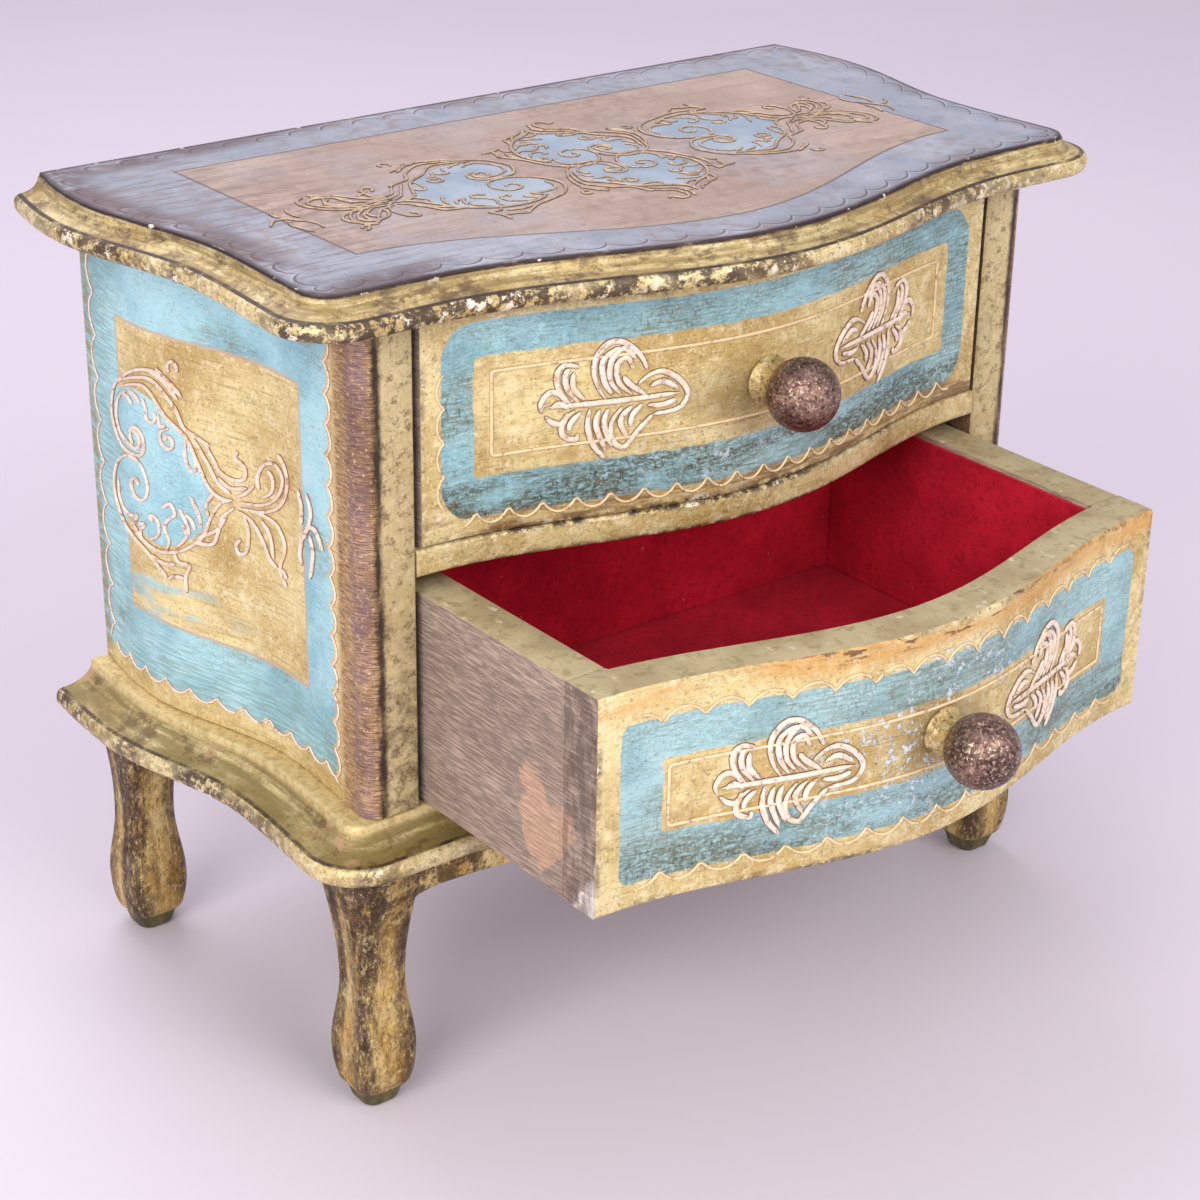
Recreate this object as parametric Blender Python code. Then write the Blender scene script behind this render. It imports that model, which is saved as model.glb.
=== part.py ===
"""Jewellery chest: a moulded top and base around two drawers, on four shaped legs.

The case's sides swell and narrow towards the front, and the top, rail, drawers and base share one
bowed front line. Each drawer is a box of its own, lined with felt, with a turned knob held by a screw.
Both drawers slide along Y: the upper one is shut and the lower one is pulled out by LOWER_PULLED_OUT.

Metres, +Z up, the front faces -Y. The case is drawn with its back on y = 0, under an empty that puts
the origin at the middle of the whole object's footprint.
"""

import math

import bmesh
import bpy

MM = 0.001
GAP = 0.3 * MM  # between pieces that touch

# Case
OPENING_WIDTH = 183.6 * MM
CASE_DEPTH = 119.8 * MM  # back plane to the ends of the front
SIDE_WAIST_THICK = 12.2 * MM  # side panel where it is thinnest
SIDE_CORNER_RADIUS = 5.0 * MM
SIDE_SWELL = 11.0 * MM  # how far the side panel swells beyond its waist
SWELL_FROM_BACK = 27.0 * MM
WAIST_FROM_BACK = 81.0 * MM
SIDE_BACK_TAPER = 0.25  # share of the swell lost again at the back edge
FRONT_FLARE = 0.3  # share of the swell regained at the front corner
BACK_PANEL_THICK = 3.5 * MM
FRONT_BOW = 17.5 * MM  # how far the middle of the front stands ahead of its ends

# Rail and shelf between the drawers
RAIL_THICK = 6.9 * MM
RAIL_DEPTH = 12.0 * MM
SHELF_THICK = 4.0 * MM

# Top board
TOP_THICK = 8.9 * MM
TOP_SIDE_MARGIN = 13.0 * MM  # upper edge beyond the case's waist
TOP_FRONT_MARGIN = 3.6 * MM
TOP_SWELL = 8.4 * MM
TOP_BACK_TAPER = 0.45
TOP_BOW = 18.0 * MM
TOP_CORNER_RADIUS = 8.5 * MM
TOP_LIP = 7.5 * MM  # moulding beyond the upper edge
TOP_STEP = 0.9 * MM  # small square edge above the cove
TOP_LIP_THICK = 4.3 * MM

# Base board
BASE_THICK = 11.0 * MM
BASE_SIDE_MARGIN = 16.4 * MM  # lip beyond the case's waist
BASE_FRONT_MARGIN = 11.2 * MM
BASE_SWELL = 9.4 * MM
BASE_BACK_TAPER = 0.15
BASE_CORNER_RADIUS = 15.5 * MM
BASE_LIP_THICK = 4.9 * MM
BASE_COVE = 9.0 * MM  # width of the hollow between the lip and the bead
BASE_BEAD = 0.9 * MM

# Legs and apron
LEG_HEIGHT = 67.9 * MM
LEG_TOP_WIDTH = 21.0 * MM
LEG_ANKLE_WIDTH = 14.0 * MM
LEG_FOOT_WIDTH = 17.6 * MM
LEG_PAD_WIDTH = 7.0 * MM
LEG_FOOT_AT = 16.0 * MM  # height of the round foot's widest part
LEG_ANKLE_AT = 36.0 * MM
LEG_KNEE_RADIUS = 8.0 * MM
LEG_EDGE_RADIUS = 2.6 * MM
FRONT_LEG_OUT = 2.0 * MM  # centre of a front leg beyond the case's waist
BACK_LEG_OUT = 6.2 * MM
LEG_FRONT_SETBACK = 2.0 * MM  # front of a front leg inside the base's lip
LEG_BACK_SETBACK = 0.8 * MM
DOWEL_RADIUS = 3.0 * MM
DOWEL_INSET = 2.5 * MM  # from the leg's centre towards the case's, clear of the cove above
DOWEL_IN_LEG = 13.0 * MM
DOWEL_IN_BASE = 7.5 * MM
APRON_SETBACK = 3.5 * MM
APRON_THICK = 8.0 * MM
APRON_DROP = 7.6 * MM
APRON_FILLET = 5.0 * MM

# Drawers
DRAWER_HEIGHT = 56.0 * MM
LOWER_HEADROOM = 5.1 * MM  # opening above the shut lower drawer, with the running gap below it
UPPER_HEADROOM = 2.9 * MM
DRAWER_SIDE_GAP = 1.8 * MM
DRAWER_RUN_GAP = 0.4 * MM
DRAWER_BACK_GAP = 1.0 * MM
DRAWER_SIDE_THICK = 11.2 * MM
DRAWER_FRONT_THICK = 11.5 * MM
DRAWER_BACK_THICK = 8.0 * MM
DRAWER_BOTTOM_THICK = 3.0 * MM
DRAWER_BOTTOM_RAISE = 0.8 * MM
LINING_THICK = 1.0 * MM
LINING_BELOW_RIM = 1.2 * MM
LOWER_PULLED_OUT = 67.0 * MM

# Knobs
KNOB_RADIUS = 9.1 * MM
KNOB_CENTRE = 13.2 * MM  # ahead of the drawer's front
KNOB_NECK_RADIUS = 4.8 * MM
KNOB_FOOT_RADIUS = 6.4 * MM
SCREW_RADIUS = 1.6 * MM
SCREW_HEAD_RADIUS = 3.6 * MM
SCREW_HEAD_THICK = 2.0 * MM
SCREW_IN_KNOB = 9.0 * MM

SIDE_STEPS = 11
CORNER_STEPS = 5
BOW_STEPS = 20
ROUND_STEPS = 24
LEG_CORNER_STEPS = 4
LEG_STEPS = 4

# Places that follow from the sizes
HALF_OPENING = OPENING_WIDTH / 2
BASE_BOTTOM = LEG_HEIGHT + GAP
CASE_FLOOR = BASE_BOTTOM + BASE_THICK
RAIL_BOTTOM = CASE_FLOOR + DRAWER_HEIGHT + LOWER_HEADROOM
SHELF_TOP = RAIL_BOTTOM + RAIL_THICK
CASE_HEAD = SHELF_TOP + DRAWER_HEIGHT + UPPER_HEADROOM
CASE_WAIST = HALF_OPENING + SIDE_WAIST_THICK
BASE_WAIST = CASE_WAIST + BASE_SIDE_MARGIN
BASE_DEPTH = CASE_DEPTH + BASE_FRONT_MARGIN
HALF_DRAWER = HALF_OPENING - DRAWER_SIDE_GAP
HALF_WELL = HALF_DRAWER - DRAWER_SIDE_THICK  # drawer's inside, between its sides
DRAWER_BACK = BACK_PANEL_THICK + DRAWER_BACK_GAP
WELL_BACK = DRAWER_BACK + DRAWER_BACK_THICK
WELL_FRONT = CASE_DEPTH - DRAWER_FRONT_THICK
WELL_FLOOR = DRAWER_BOTTOM_RAISE + DRAWER_BOTTOM_THICK
KNOB_HEIGHT = DRAWER_HEIGHT / 2
FRONT_REACH = CASE_DEPTH + FRONT_BOW + KNOB_CENTRE + KNOB_RADIUS + LOWER_PULLED_OUT

COLOURS = {
    "turquoise_paint": ((0.40, 0.62, 0.68), 0.55, 0.0),
    "gilding": ((0.55, 0.42, 0.16), 0.42, 0.6),
    "worn_gilding": ((0.46, 0.34, 0.14), 0.5, 0.5),
    "top_paint": ((0.42, 0.50, 0.58), 0.5, 0.0),
    "bare_wood": ((0.32, 0.22, 0.16), 0.75, 0.0),
    "red_felt": ((0.35, 0.01, 0.02), 0.95, 0.0),
    "bronze_paint": ((0.26, 0.15, 0.06), 0.38, 0.6),
    "screw_steel": ((0.55, 0.53, 0.50), 0.35, 1.0),
}


# --- lines in plan -------------------------------------------------------------------------------


def swell_at(distance, back_taper):
    """Share of the swell at this distance from the back: 1 at the swell, 0 at the waist."""
    half_wave = WAIST_FROM_BACK - SWELL_FROM_BACK
    if distance < SWELL_FROM_BACK:
        turn = (SWELL_FROM_BACK - distance) / SWELL_FROM_BACK
        return 1 - back_taper * (1 - math.cos(turn * math.pi / 2))
    turn = (distance - SWELL_FROM_BACK) / half_wave
    if turn < 1:
        return (1 + math.cos(turn * math.pi)) / 2
    return FRONT_FLARE * (1 - math.cos((turn - 1) * math.pi)) / 2


def bow_at(x, bow):
    """How far a front line stands ahead of its ends at x."""
    if abs(x) >= HALF_OPENING:
        return 0.0
    return bow * (1 + math.cos(math.pi * x / HALF_OPENING)) / 2


def side_line(waist, swell, back_taper, depth, radius):
    """Right side, from the back edge round the front corner."""
    corner_y = depth - radius
    points = []
    for step in range(SIDE_STEPS):
        distance = corner_y * step / SIDE_STEPS
        points.append((waist + swell * swell_at(distance, back_taper), -distance))
    corner_x = waist + swell * swell_at(corner_y, back_taper) - radius
    for step in range(CORNER_STEPS + 1):
        angle = step / CORNER_STEPS * math.pi / 2
        points.append((corner_x + radius * math.cos(angle), -corner_y - radius * math.sin(angle)))
    return points


def bow_line(half_width, depth, bow):
    """Front line from +half_width to -half_width."""
    points = []
    for step in range(BOW_STEPS + 1):
        x = half_width * (1 - 2 * step / BOW_STEPS)
        points.append((x, -depth - bow_at(x, bow)))
    return points


def board_outline(waist, swell, back_taper, depth, bow, radius):
    """Outline of the top or base board: flat at the back, shaped on the other three sides."""
    right = side_line(waist, swell, back_taper, depth, radius)
    left = [(-x, y) for x, y in reversed(right)]
    return right + bow_line(HALF_OPENING, depth, bow) + left


def rounded_square(half, edge_radius, knee_radius):
    """Square around the leg's centre, with its +X -Y corner rounded by knee_radius."""
    points = []
    for x_sign, y_sign, start in ((1, 1, 0), (-1, 1, 1), (-1, -1, 2), (1, -1, 3)):
        radius = knee_radius if (x_sign, y_sign) == (1, -1) else edge_radius
        for step in range(LEG_CORNER_STEPS + 1):
            angle = (start + step / LEG_CORNER_STEPS) * math.pi / 2
            x = x_sign * (half - radius) + radius * math.cos(angle)
            y = y_sign * (half - radius) + radius * math.sin(angle)
            points.append((x, y))
    return points


# --- meshes --------------------------------------------------------------------------------------


def loft(rings):
    """Closed mesh from rings of equally many points: the first ring's face, extruded ring by ring."""
    mesh = bmesh.new()
    first = mesh.faces.new([mesh.verts.new(point) for point in rings[0]])
    face = first
    for ring in rings[1:]:
        made = bmesh.ops.extrude_face_region(mesh, geom=[face])["geom"]
        if face != first:
            mesh.faces.remove(face)
        face = next(item for item in made if isinstance(item, bmesh.types.BMFace))
        for vertex, point in zip(face.verts, ring):
            vertex.co = point
    bmesh.ops.recalc_face_normals(mesh, faces=mesh.faces)
    return mesh


def prism(outline, low, high):
    """Outline in plan, from low to high."""
    return loft([[(x, y, z) for x, y in outline] for z in (low, high)])


def block(x_range, y_range, z_range):
    (left, right), (front, back) = x_range, y_range
    outline = [(left, front), (right, front), (right, back), (left, back)]
    return prism(outline, *z_range)


def turned(profile, centre):
    """Solid of revolution about the Y axis through centre, from a profile of (radius, y)."""
    mesh = bmesh.new()
    line = [mesh.verts.new((radius, y, 0)) for radius, y in profile]
    edges = [mesh.edges.new(pair) for pair in zip(line, line[1:])]
    bmesh.ops.spin(
        mesh,
        geom=line + edges,
        cent=(0, 0, 0),
        axis=(0, 1, 0),
        dvec=(0, 0, 0),
        angle=2 * math.pi,
        steps=ROUND_STEPS,
        use_merge=True,
    )
    bmesh.ops.remove_doubles(mesh, verts=mesh.verts, dist=0.001 * MM)
    bmesh.ops.recalc_face_normals(mesh, faces=mesh.faces)
    bmesh.ops.translate(mesh, verts=mesh.verts, vec=centre)
    return mesh


def rod(radius, low, high):
    """Upright round rod, low and high being the centres of its ends."""
    mesh = bmesh.new()
    bmesh.ops.create_cone(
        mesh,
        cap_ends=True,
        segments=ROUND_STEPS // 2,
        radius1=radius,
        radius2=radius,
        depth=high[2] - low[2],
    )
    middle = [(a + b) / 2 for a, b in zip(low, high)]
    bmesh.ops.translate(mesh, verts=mesh.verts, vec=middle)
    return mesh


# --- objects -------------------------------------------------------------------------------------


def clear_scene():
    for thing in list(bpy.data.objects):
        bpy.data.objects.remove(thing)


def material(name):
    if name in bpy.data.materials:
        return bpy.data.materials[name]
    colour, roughness, metallic = COLOURS[name]
    made = bpy.data.materials.new(name)
    made.use_nodes = True
    shader = made.node_tree.nodes["Principled BSDF"]
    shader.inputs["Base Color"].default_value = (*colour, 1)
    shader.inputs["Roughness"].default_value = roughness
    shader.inputs["Metallic"].default_value = metallic
    made.diffuse_color = (*colour, 1)
    return made


def add_object(name, mesh, finish, parent, smooth=False):
    data = bpy.data.meshes.new(name)
    mesh.to_mesh(data)
    mesh.free()
    if smooth:
        data.shade_smooth()
        data.set_sharp_from_angle(angle=math.radians(35))
    data.materials.append(material(finish))
    made = bpy.data.objects.new(name, data)
    made.parent = parent
    bpy.context.scene.collection.objects.link(made)
    return made


def add_empty(name, place, parent=None):
    made = bpy.data.objects.new(name, None)
    made.location = place
    made.empty_display_size = 20 * MM
    made.parent = parent
    bpy.context.scene.collection.objects.link(made)
    return made


def cut(target, name, mesh):
    """Takes mesh out of target, from a hidden cutter that stays in the scene."""
    cutter = add_object(name, mesh, "bare_wood", target.parent)
    cutter.hide_render = True
    cutter.display_type = "WIRE"
    boolean = target.modifiers.new(name, "BOOLEAN")
    boolean.operation = "DIFFERENCE"
    boolean.object = cutter


# --- case ----------------------------------------------------------------------------------------


def board_from_profile(profile, waist, swell, back_taper, depth, bow, radius):
    """Moulded board: profile is (offset from the given outline, height), from the bottom up."""
    rings = []
    for offset, height in profile:
        outline = board_outline(
            waist + offset, swell, back_taper, depth + offset, bow, radius + offset
        )
        rings.append([(x, y, height) for x, y in outline])
    return loft(rings)


def half_round(offset, low, thick, depth, steps=4):
    """Rounded lip, from its lower edge to its upper edge, standing out to offset."""
    points = []
    for step in range(steps + 1):
        angle = math.pi * (step / steps - 0.5)
        points.append((offset - depth + depth * math.cos(angle), low + thick * (1 + math.sin(angle)) / 2))
    return points


def hollow(start, end, steps=4):
    """Cove from start, where it is level, to end, where it is upright, without its two ends."""
    points = []
    for step in range(1, steps):
        angle = step / steps * math.pi / 2
        offset = start[0] + (end[0] - start[0]) * math.sin(angle)
        height = end[1] + (start[1] - end[1]) * math.cos(angle)
        points.append((offset, height))
    return points


def add_top_board(case):
    lip_top = CASE_HEAD + TOP_LIP_THICK
    cove_low = (TOP_LIP - 1.8 * MM, lip_top + 0.2 * MM)
    cove_high = (0.5 * MM, CASE_HEAD + TOP_THICK - TOP_STEP)
    profile = [
        *half_round(TOP_LIP, CASE_HEAD, TOP_LIP_THICK, 1.3 * MM),
        cove_low,
        *hollow(cove_low, cove_high),
        cove_high,
        (0.0, cove_high[1] + 0.2 * MM),
        (0.0, CASE_HEAD + TOP_THICK - 0.3 * MM),
        (-0.3 * MM, CASE_HEAD + TOP_THICK),
    ]
    mesh = board_from_profile(
        profile,
        CASE_WAIST + TOP_SIDE_MARGIN,
        TOP_SWELL,
        TOP_BACK_TAPER,
        CASE_DEPTH + TOP_FRONT_MARGIN,
        TOP_BOW,
        TOP_CORNER_RADIUS,
    )
    add_object("top_board", mesh, "top_paint", case, smooth=True)


def leg_places():
    """Name and centre of each leg, and the direction of its outer corner."""
    front = (CASE_WAIST + FRONT_LEG_OUT, -(BASE_DEPTH - LEG_FRONT_SETBACK - LEG_TOP_WIDTH / 2))
    back = (CASE_WAIST + BACK_LEG_OUT, -(LEG_BACK_SETBACK + LEG_TOP_WIDTH / 2))
    return (
        ("front_left", (-front[0], front[1]), (-1, 1)),
        ("front_right", front, (1, 1)),
        ("back_left", (-back[0], back[1]), (-1, -1)),
        ("back_right", back, (1, -1)),
    )


def dowel_place(centre, outward):
    """Dowel's place under a leg at centre; outward is the y-mirrored direction of its outer corner."""
    return centre[0] - outward[0] * DOWEL_INSET, centre[1] + outward[1] * DOWEL_INSET


def add_base_board(case):
    lip_top = BASE_BOTTOM + BASE_LIP_THICK
    cove_low = (-2.2 * MM, lip_top + 0.2 * MM)
    cove_high = (-2.0 * MM - BASE_COVE, CASE_FLOOR - BASE_BEAD)
    profile = [
        *half_round(0.0, BASE_BOTTOM, BASE_LIP_THICK, 1.4 * MM),
        cove_low,
        *hollow(cove_low, cove_high),
        cove_high,
        (cove_high[0] - 0.3 * MM, CASE_FLOOR - BASE_BEAD / 3),
        (cove_high[0] - 1.0 * MM, CASE_FLOOR),
    ]
    mesh = board_from_profile(
        profile, BASE_WAIST, BASE_SWELL, BASE_BACK_TAPER, BASE_DEPTH, FRONT_BOW, BASE_CORNER_RADIUS
    )
    board = add_object("base_board", mesh, "gilding", case, smooth=True)
    for name, centre, outward in leg_places():
        x, y = dowel_place(centre, outward)
        low = (x, y, BASE_BOTTOM - 5 * MM)
        high = (x, y, BASE_BOTTOM + DOWEL_IN_BASE + GAP)
        cut(board, f"{name}_base_hole", rod(DOWEL_RADIUS + GAP, low, high))


def add_side_panels(case):
    outer = side_line(CASE_WAIST, SIDE_SWELL, SIDE_BACK_TAPER, CASE_DEPTH, SIDE_CORNER_RADIUS)
    outline = [(HALF_OPENING, 0.0), *outer, (HALF_OPENING, -CASE_DEPTH)]
    for name, sign in (("left_side_panel", -1), ("right_side_panel", 1)):
        mesh = prism([(sign * x, y) for x, y in outline], CASE_FLOOR + GAP, CASE_HEAD - GAP)
        add_object(name, mesh, "turquoise_paint", case, smooth=True)


def add_back_panel(case):
    half = HALF_OPENING - GAP
    mesh = block((-half, half), (-BACK_PANEL_THICK, 0.0), (CASE_FLOOR + GAP, CASE_HEAD - GAP))
    add_object("back_panel", mesh, "bare_wood", case)


def add_rail_and_shelf(case):
    half = HALF_OPENING - GAP
    back = -(CASE_DEPTH - RAIL_DEPTH)
    outline = [*bow_line(half, CASE_DEPTH, FRONT_BOW), (-half, back), (half, back)]
    rail = prism(outline, RAIL_BOTTOM, SHELF_TOP)
    add_object("drawer_rail", rail, "gilding", case, smooth=True)
    shelf = block(
        (-half, half),
        (back + GAP, -(BACK_PANEL_THICK + GAP)),
        (SHELF_TOP - SHELF_THICK, SHELF_TOP),
    )
    add_object("drawer_shelf", shelf, "bare_wood", case)


# --- legs and apron ------------------------------------------------------------------------------


def leg_profile():
    """(height, width) up the leg: pad, round foot, narrow ankle, broad knee."""
    stations = []
    for step in range(LEG_STEPS + 1):
        angle = step / LEG_STEPS * math.pi / 2
        width = LEG_PAD_WIDTH + (LEG_FOOT_WIDTH - LEG_PAD_WIDTH) * math.sin(angle)
        stations.append((LEG_FOOT_AT * (1 - math.cos(angle)), width))
    for step in range(1, LEG_STEPS + 1):
        turn = step / LEG_STEPS
        share = (1 - math.cos(turn * math.pi)) / 2
        height = LEG_FOOT_AT + (LEG_ANKLE_AT - LEG_FOOT_AT) * turn
        stations.append((height, LEG_FOOT_WIDTH + (LEG_ANKLE_WIDTH - LEG_FOOT_WIDTH) * share))
    for step in range(1, LEG_STEPS + 3):
        turn = step / (LEG_STEPS + 2)
        share = turn**2 * (3 - turn) / 2
        height = LEG_ANKLE_AT + (LEG_HEIGHT - LEG_ANKLE_AT) * turn
        stations.append((height, LEG_ANKLE_WIDTH + (LEG_TOP_WIDTH - LEG_ANKLE_WIDTH) * share))
    return stations


def leg_mesh(x_sign, y_sign):
    rings = []
    for height, width in leg_profile():
        rise = max(0.0, (height - LEG_ANKLE_AT) / (LEG_HEIGHT - LEG_ANKLE_AT))
        edge = min(LEG_EDGE_RADIUS, width / 4)
        knee = edge + (LEG_KNEE_RADIUS - edge) * rise
        outline = rounded_square(width / 2, edge, knee)
        rings.append([(x_sign * x, y_sign * y, height) for x, y in outline])
    return loft(rings)


def add_legs(case):
    for name, centre, outward in leg_places():
        leg = add_object(f"{name}_leg", leg_mesh(*outward), "worn_gilding", case, smooth=True)
        leg.location = (*centre, 0)
        x, y = dowel_place(centre, outward)
        low = LEG_HEIGHT - DOWEL_IN_LEG
        hole = rod(DOWEL_RADIUS + GAP, (x, y, low - GAP), (x, y, LEG_HEIGHT + 5 * MM))
        cut(leg, f"{name}_leg_hole", hole)
        dowel = rod(DOWEL_RADIUS, (x, y, low), (x, y, BASE_BOTTOM + DOWEL_IN_BASE))
        add_object(f"{name}_leg_dowel", dowel, "bare_wood", case, smooth=True)


def add_apron(case):
    _, (leg_x, _), _ = leg_places()[1]
    half = leg_x - LEG_TOP_WIDTH / 2 - GAP
    front = BASE_DEPTH - APRON_SETBACK
    rings = []
    for step in range(BOW_STEPS + 1):
        x = half * math.sin((step / BOW_STEPS - 0.5) * math.pi)
        near = max(0.0, 1 - (half - abs(x)) / APRON_FILLET)
        low = BASE_BOTTOM - GAP - APRON_DROP - APRON_FILLET * (1 - math.sqrt(1 - near**2))
        outer = -front - bow_at(x, FRONT_BOW)
        inner = outer + APRON_THICK
        high = BASE_BOTTOM - GAP
        rings.append([(x, outer, low), (x, inner, low), (x, inner, high), (x, outer, high)])
    add_object("front_apron", loft(rings), "worn_gilding", case, smooth=True)


# --- drawers -------------------------------------------------------------------------------------


def well_line(inset):
    """Inner face of the drawer's front, from +X to -X, moved back by inset."""
    half = HALF_WELL - inset
    return [(x, y + inset) for x, y in bow_line(half, WELL_FRONT, FRONT_BOW)]


def add_drawer_box(prefix, drawer):
    inner = well_line(0.0)
    shoulder = -WELL_FRONT
    outline = [
        *bow_line(HALF_DRAWER, CASE_DEPTH, FRONT_BOW),
        (-HALF_DRAWER, shoulder),
        (-HALF_WELL, shoulder),
        *reversed(inner),
        (HALF_WELL, shoulder),
        (HALF_DRAWER, shoulder),
    ]
    mesh = prism(outline, 0.0, DRAWER_HEIGHT)
    front = add_object(f"{prefix}_drawer_front", mesh, "turquoise_paint", drawer, smooth=True)
    cut_screw_hole(front, prefix)
    sides = (("left", -HALF_DRAWER, -HALF_WELL), ("right", HALF_WELL, HALF_DRAWER))
    for name, low_x, high_x in sides:
        mesh = block((low_x, high_x), (shoulder + GAP, -DRAWER_BACK), (0.0, DRAWER_HEIGHT))
        add_object(f"{prefix}_drawer_{name}_side", mesh, "bare_wood", drawer)
    half = HALF_WELL - GAP
    back = block((-half, half), (-WELL_BACK, -DRAWER_BACK), (0.0, DRAWER_HEIGHT))
    add_object(f"{prefix}_drawer_back", back, "bare_wood", drawer)
    bottom = [*well_line(GAP), (-half, -WELL_BACK - GAP), (half, -WELL_BACK - GAP)]
    mesh = prism(bottom, DRAWER_BOTTOM_RAISE, WELL_FLOOR)
    add_object(f"{prefix}_drawer_bottom", mesh, "bare_wood", drawer)


def add_lining(prefix, drawer):
    """Felt on the floor, and a strip of it on each of the four walls."""
    inset = GAP + LINING_THICK  # inner face of a wall strip, from the wall
    floor_low = WELL_FLOOR + GAP
    floor_high = floor_low + LINING_THICK
    strip = (floor_high + GAP, DRAWER_HEIGHT - LINING_BELOW_RIM)
    half = HALF_WELL - GAP
    back = -WELL_BACK - GAP
    floor = [*well_line(GAP), (-half, back), (half, back)]
    pieces = {"floor": prism(floor, floor_low, floor_high)}
    clear = inset + GAP
    front = [*well_line(GAP), *reversed(well_line(inset))]
    pieces["front"] = prism(front, *strip)
    half_back = HALF_WELL - GAP
    pieces["back"] = block((-half_back, half_back), (back - LINING_THICK, back), strip)
    side_front = -(WELL_FRONT + bow_at(HALF_WELL - inset, FRONT_BOW)) + clear
    side_back = -WELL_BACK - clear
    for name, sign in (("left", -1), ("right", 1)):
        x_range = sorted((sign * (HALF_WELL - inset), sign * half))
        pieces[name] = block(tuple(x_range), (side_front, side_back), strip)
    for name, mesh in pieces.items():
        add_object(f"{prefix}_{name}_lining", mesh, "red_felt", drawer)


def cut_screw_hole(front, prefix):
    """Hole for the knob's screw, with a counterbore for its head behind the lining."""
    face = -(CASE_DEPTH + FRONT_BOW)
    inner = face + DRAWER_FRONT_THICK
    sink = inner - SCREW_HEAD_THICK - 2 * GAP
    profile = [
        (0.0, face - 5 * MM),
        (SCREW_RADIUS + GAP, face - 5 * MM),
        (SCREW_RADIUS + GAP, sink),
        (SCREW_HEAD_RADIUS + GAP, sink),
        (SCREW_HEAD_RADIUS + GAP, inner + 5 * MM),
        (0.0, inner + 5 * MM),
    ]
    cut(front, f"{prefix}_screw_hole", turned(profile, (0, 0, KNOB_HEIGHT)))


def add_knob(prefix, drawer):
    face = -(CASE_DEPTH + FRONT_BOW)
    inner = face + DRAWER_FRONT_THICK
    foot = face - GAP
    centre = face - KNOB_CENTRE
    meets = math.asin(KNOB_NECK_RADIUS / KNOB_RADIUS)
    socket = SCREW_RADIUS + GAP
    bottom = foot - SCREW_IN_KNOB - GAP
    profile = [(0.0, bottom), (socket, bottom), (socket, foot), (KNOB_FOOT_RADIUS, foot)]
    profile.append((KNOB_FOOT_RADIUS, foot - 0.8 * MM))
    profile.append((KNOB_NECK_RADIUS + 0.5 * MM, foot - 1.8 * MM))
    for step in range(ROUND_STEPS // 2 + 1):
        angle = meets + (math.pi - meets) * step / (ROUND_STEPS // 2)
        radius = KNOB_RADIUS * math.sin(angle)
        profile.append((max(radius, 0.0), centre + KNOB_RADIUS * math.cos(angle)))
    knob = turned(profile, (0, 0, KNOB_HEIGHT))
    add_object(f"{prefix}_drawer_knob", knob, "bronze_paint", drawer, smooth=True)
    head = inner - GAP
    shank = head - SCREW_HEAD_THICK
    screw = [
        (0.0, head),
        (SCREW_HEAD_RADIUS, head),
        (SCREW_HEAD_RADIUS, shank),
        (SCREW_RADIUS, shank),
        (SCREW_RADIUS, foot - SCREW_IN_KNOB + 1.5 * MM),
        (0.0, foot - SCREW_IN_KNOB),
    ]
    mesh = turned(screw, (0, 0, KNOB_HEIGHT))
    add_object(f"{prefix}_knob_screw", mesh, "screw_steel", drawer, smooth=True)


def add_drawer(prefix, case, pulled_out, floor):
    drawer = add_empty(f"{prefix}_drawer_slide", (0, -pulled_out, floor + DRAWER_RUN_GAP), case)
    add_drawer_box(prefix, drawer)
    add_lining(prefix, drawer)
    add_knob(prefix, drawer)


def main():
    clear_scene()
    case = add_empty("case_back", (0, FRONT_REACH / 2, 0))
    add_top_board(case)
    add_base_board(case)
    add_side_panels(case)
    add_back_panel(case)
    add_rail_and_shelf(case)
    add_legs(case)
    add_apron(case)
    add_drawer("upper", case, 0.0, SHELF_TOP)
    add_drawer("lower", case, LOWER_PULLED_OUT, CASE_FLOOR)


main()
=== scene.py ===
"""Painted two-drawer jewellery chest: moulded boards, gilding, raised scrolls, felt wells and knobs.

Every piece is drawn in metres in the fixed frame's own coordinates and rides on one of its bodies.
Patterns are laid out in millimetres, along and up each painted face.
"""

import math

import bmesh
import bpy
from mathutils import Matrix, Vector


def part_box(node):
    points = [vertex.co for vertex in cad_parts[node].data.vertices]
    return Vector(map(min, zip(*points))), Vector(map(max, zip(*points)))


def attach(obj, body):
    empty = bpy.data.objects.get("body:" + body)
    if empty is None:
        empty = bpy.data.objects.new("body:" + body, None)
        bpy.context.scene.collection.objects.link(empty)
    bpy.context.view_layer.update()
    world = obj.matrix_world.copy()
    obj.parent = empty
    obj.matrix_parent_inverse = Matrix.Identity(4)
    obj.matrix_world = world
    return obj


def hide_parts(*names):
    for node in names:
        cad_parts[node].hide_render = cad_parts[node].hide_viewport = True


bl_info = {
    "name": "Painted Jewellery Chest",
    "version": (1, 0, 0),
    "blender": (4, 5, 0),
    "location": "3D View > Sidebar > Chest",
    "description": "Finishes, raised scrolls, felt and knobs for a two-drawer painted chest",
    "category": "Add Mesh",
}

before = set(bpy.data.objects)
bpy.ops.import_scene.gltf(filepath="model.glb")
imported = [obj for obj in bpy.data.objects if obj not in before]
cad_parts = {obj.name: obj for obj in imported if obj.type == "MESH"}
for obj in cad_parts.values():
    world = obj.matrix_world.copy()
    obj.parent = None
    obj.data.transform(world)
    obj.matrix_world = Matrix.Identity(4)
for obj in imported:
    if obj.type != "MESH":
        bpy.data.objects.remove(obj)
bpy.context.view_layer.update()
MM = 0.001
ARC_POWER = 0.6  # power that rounds the arcs of a scallop

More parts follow.
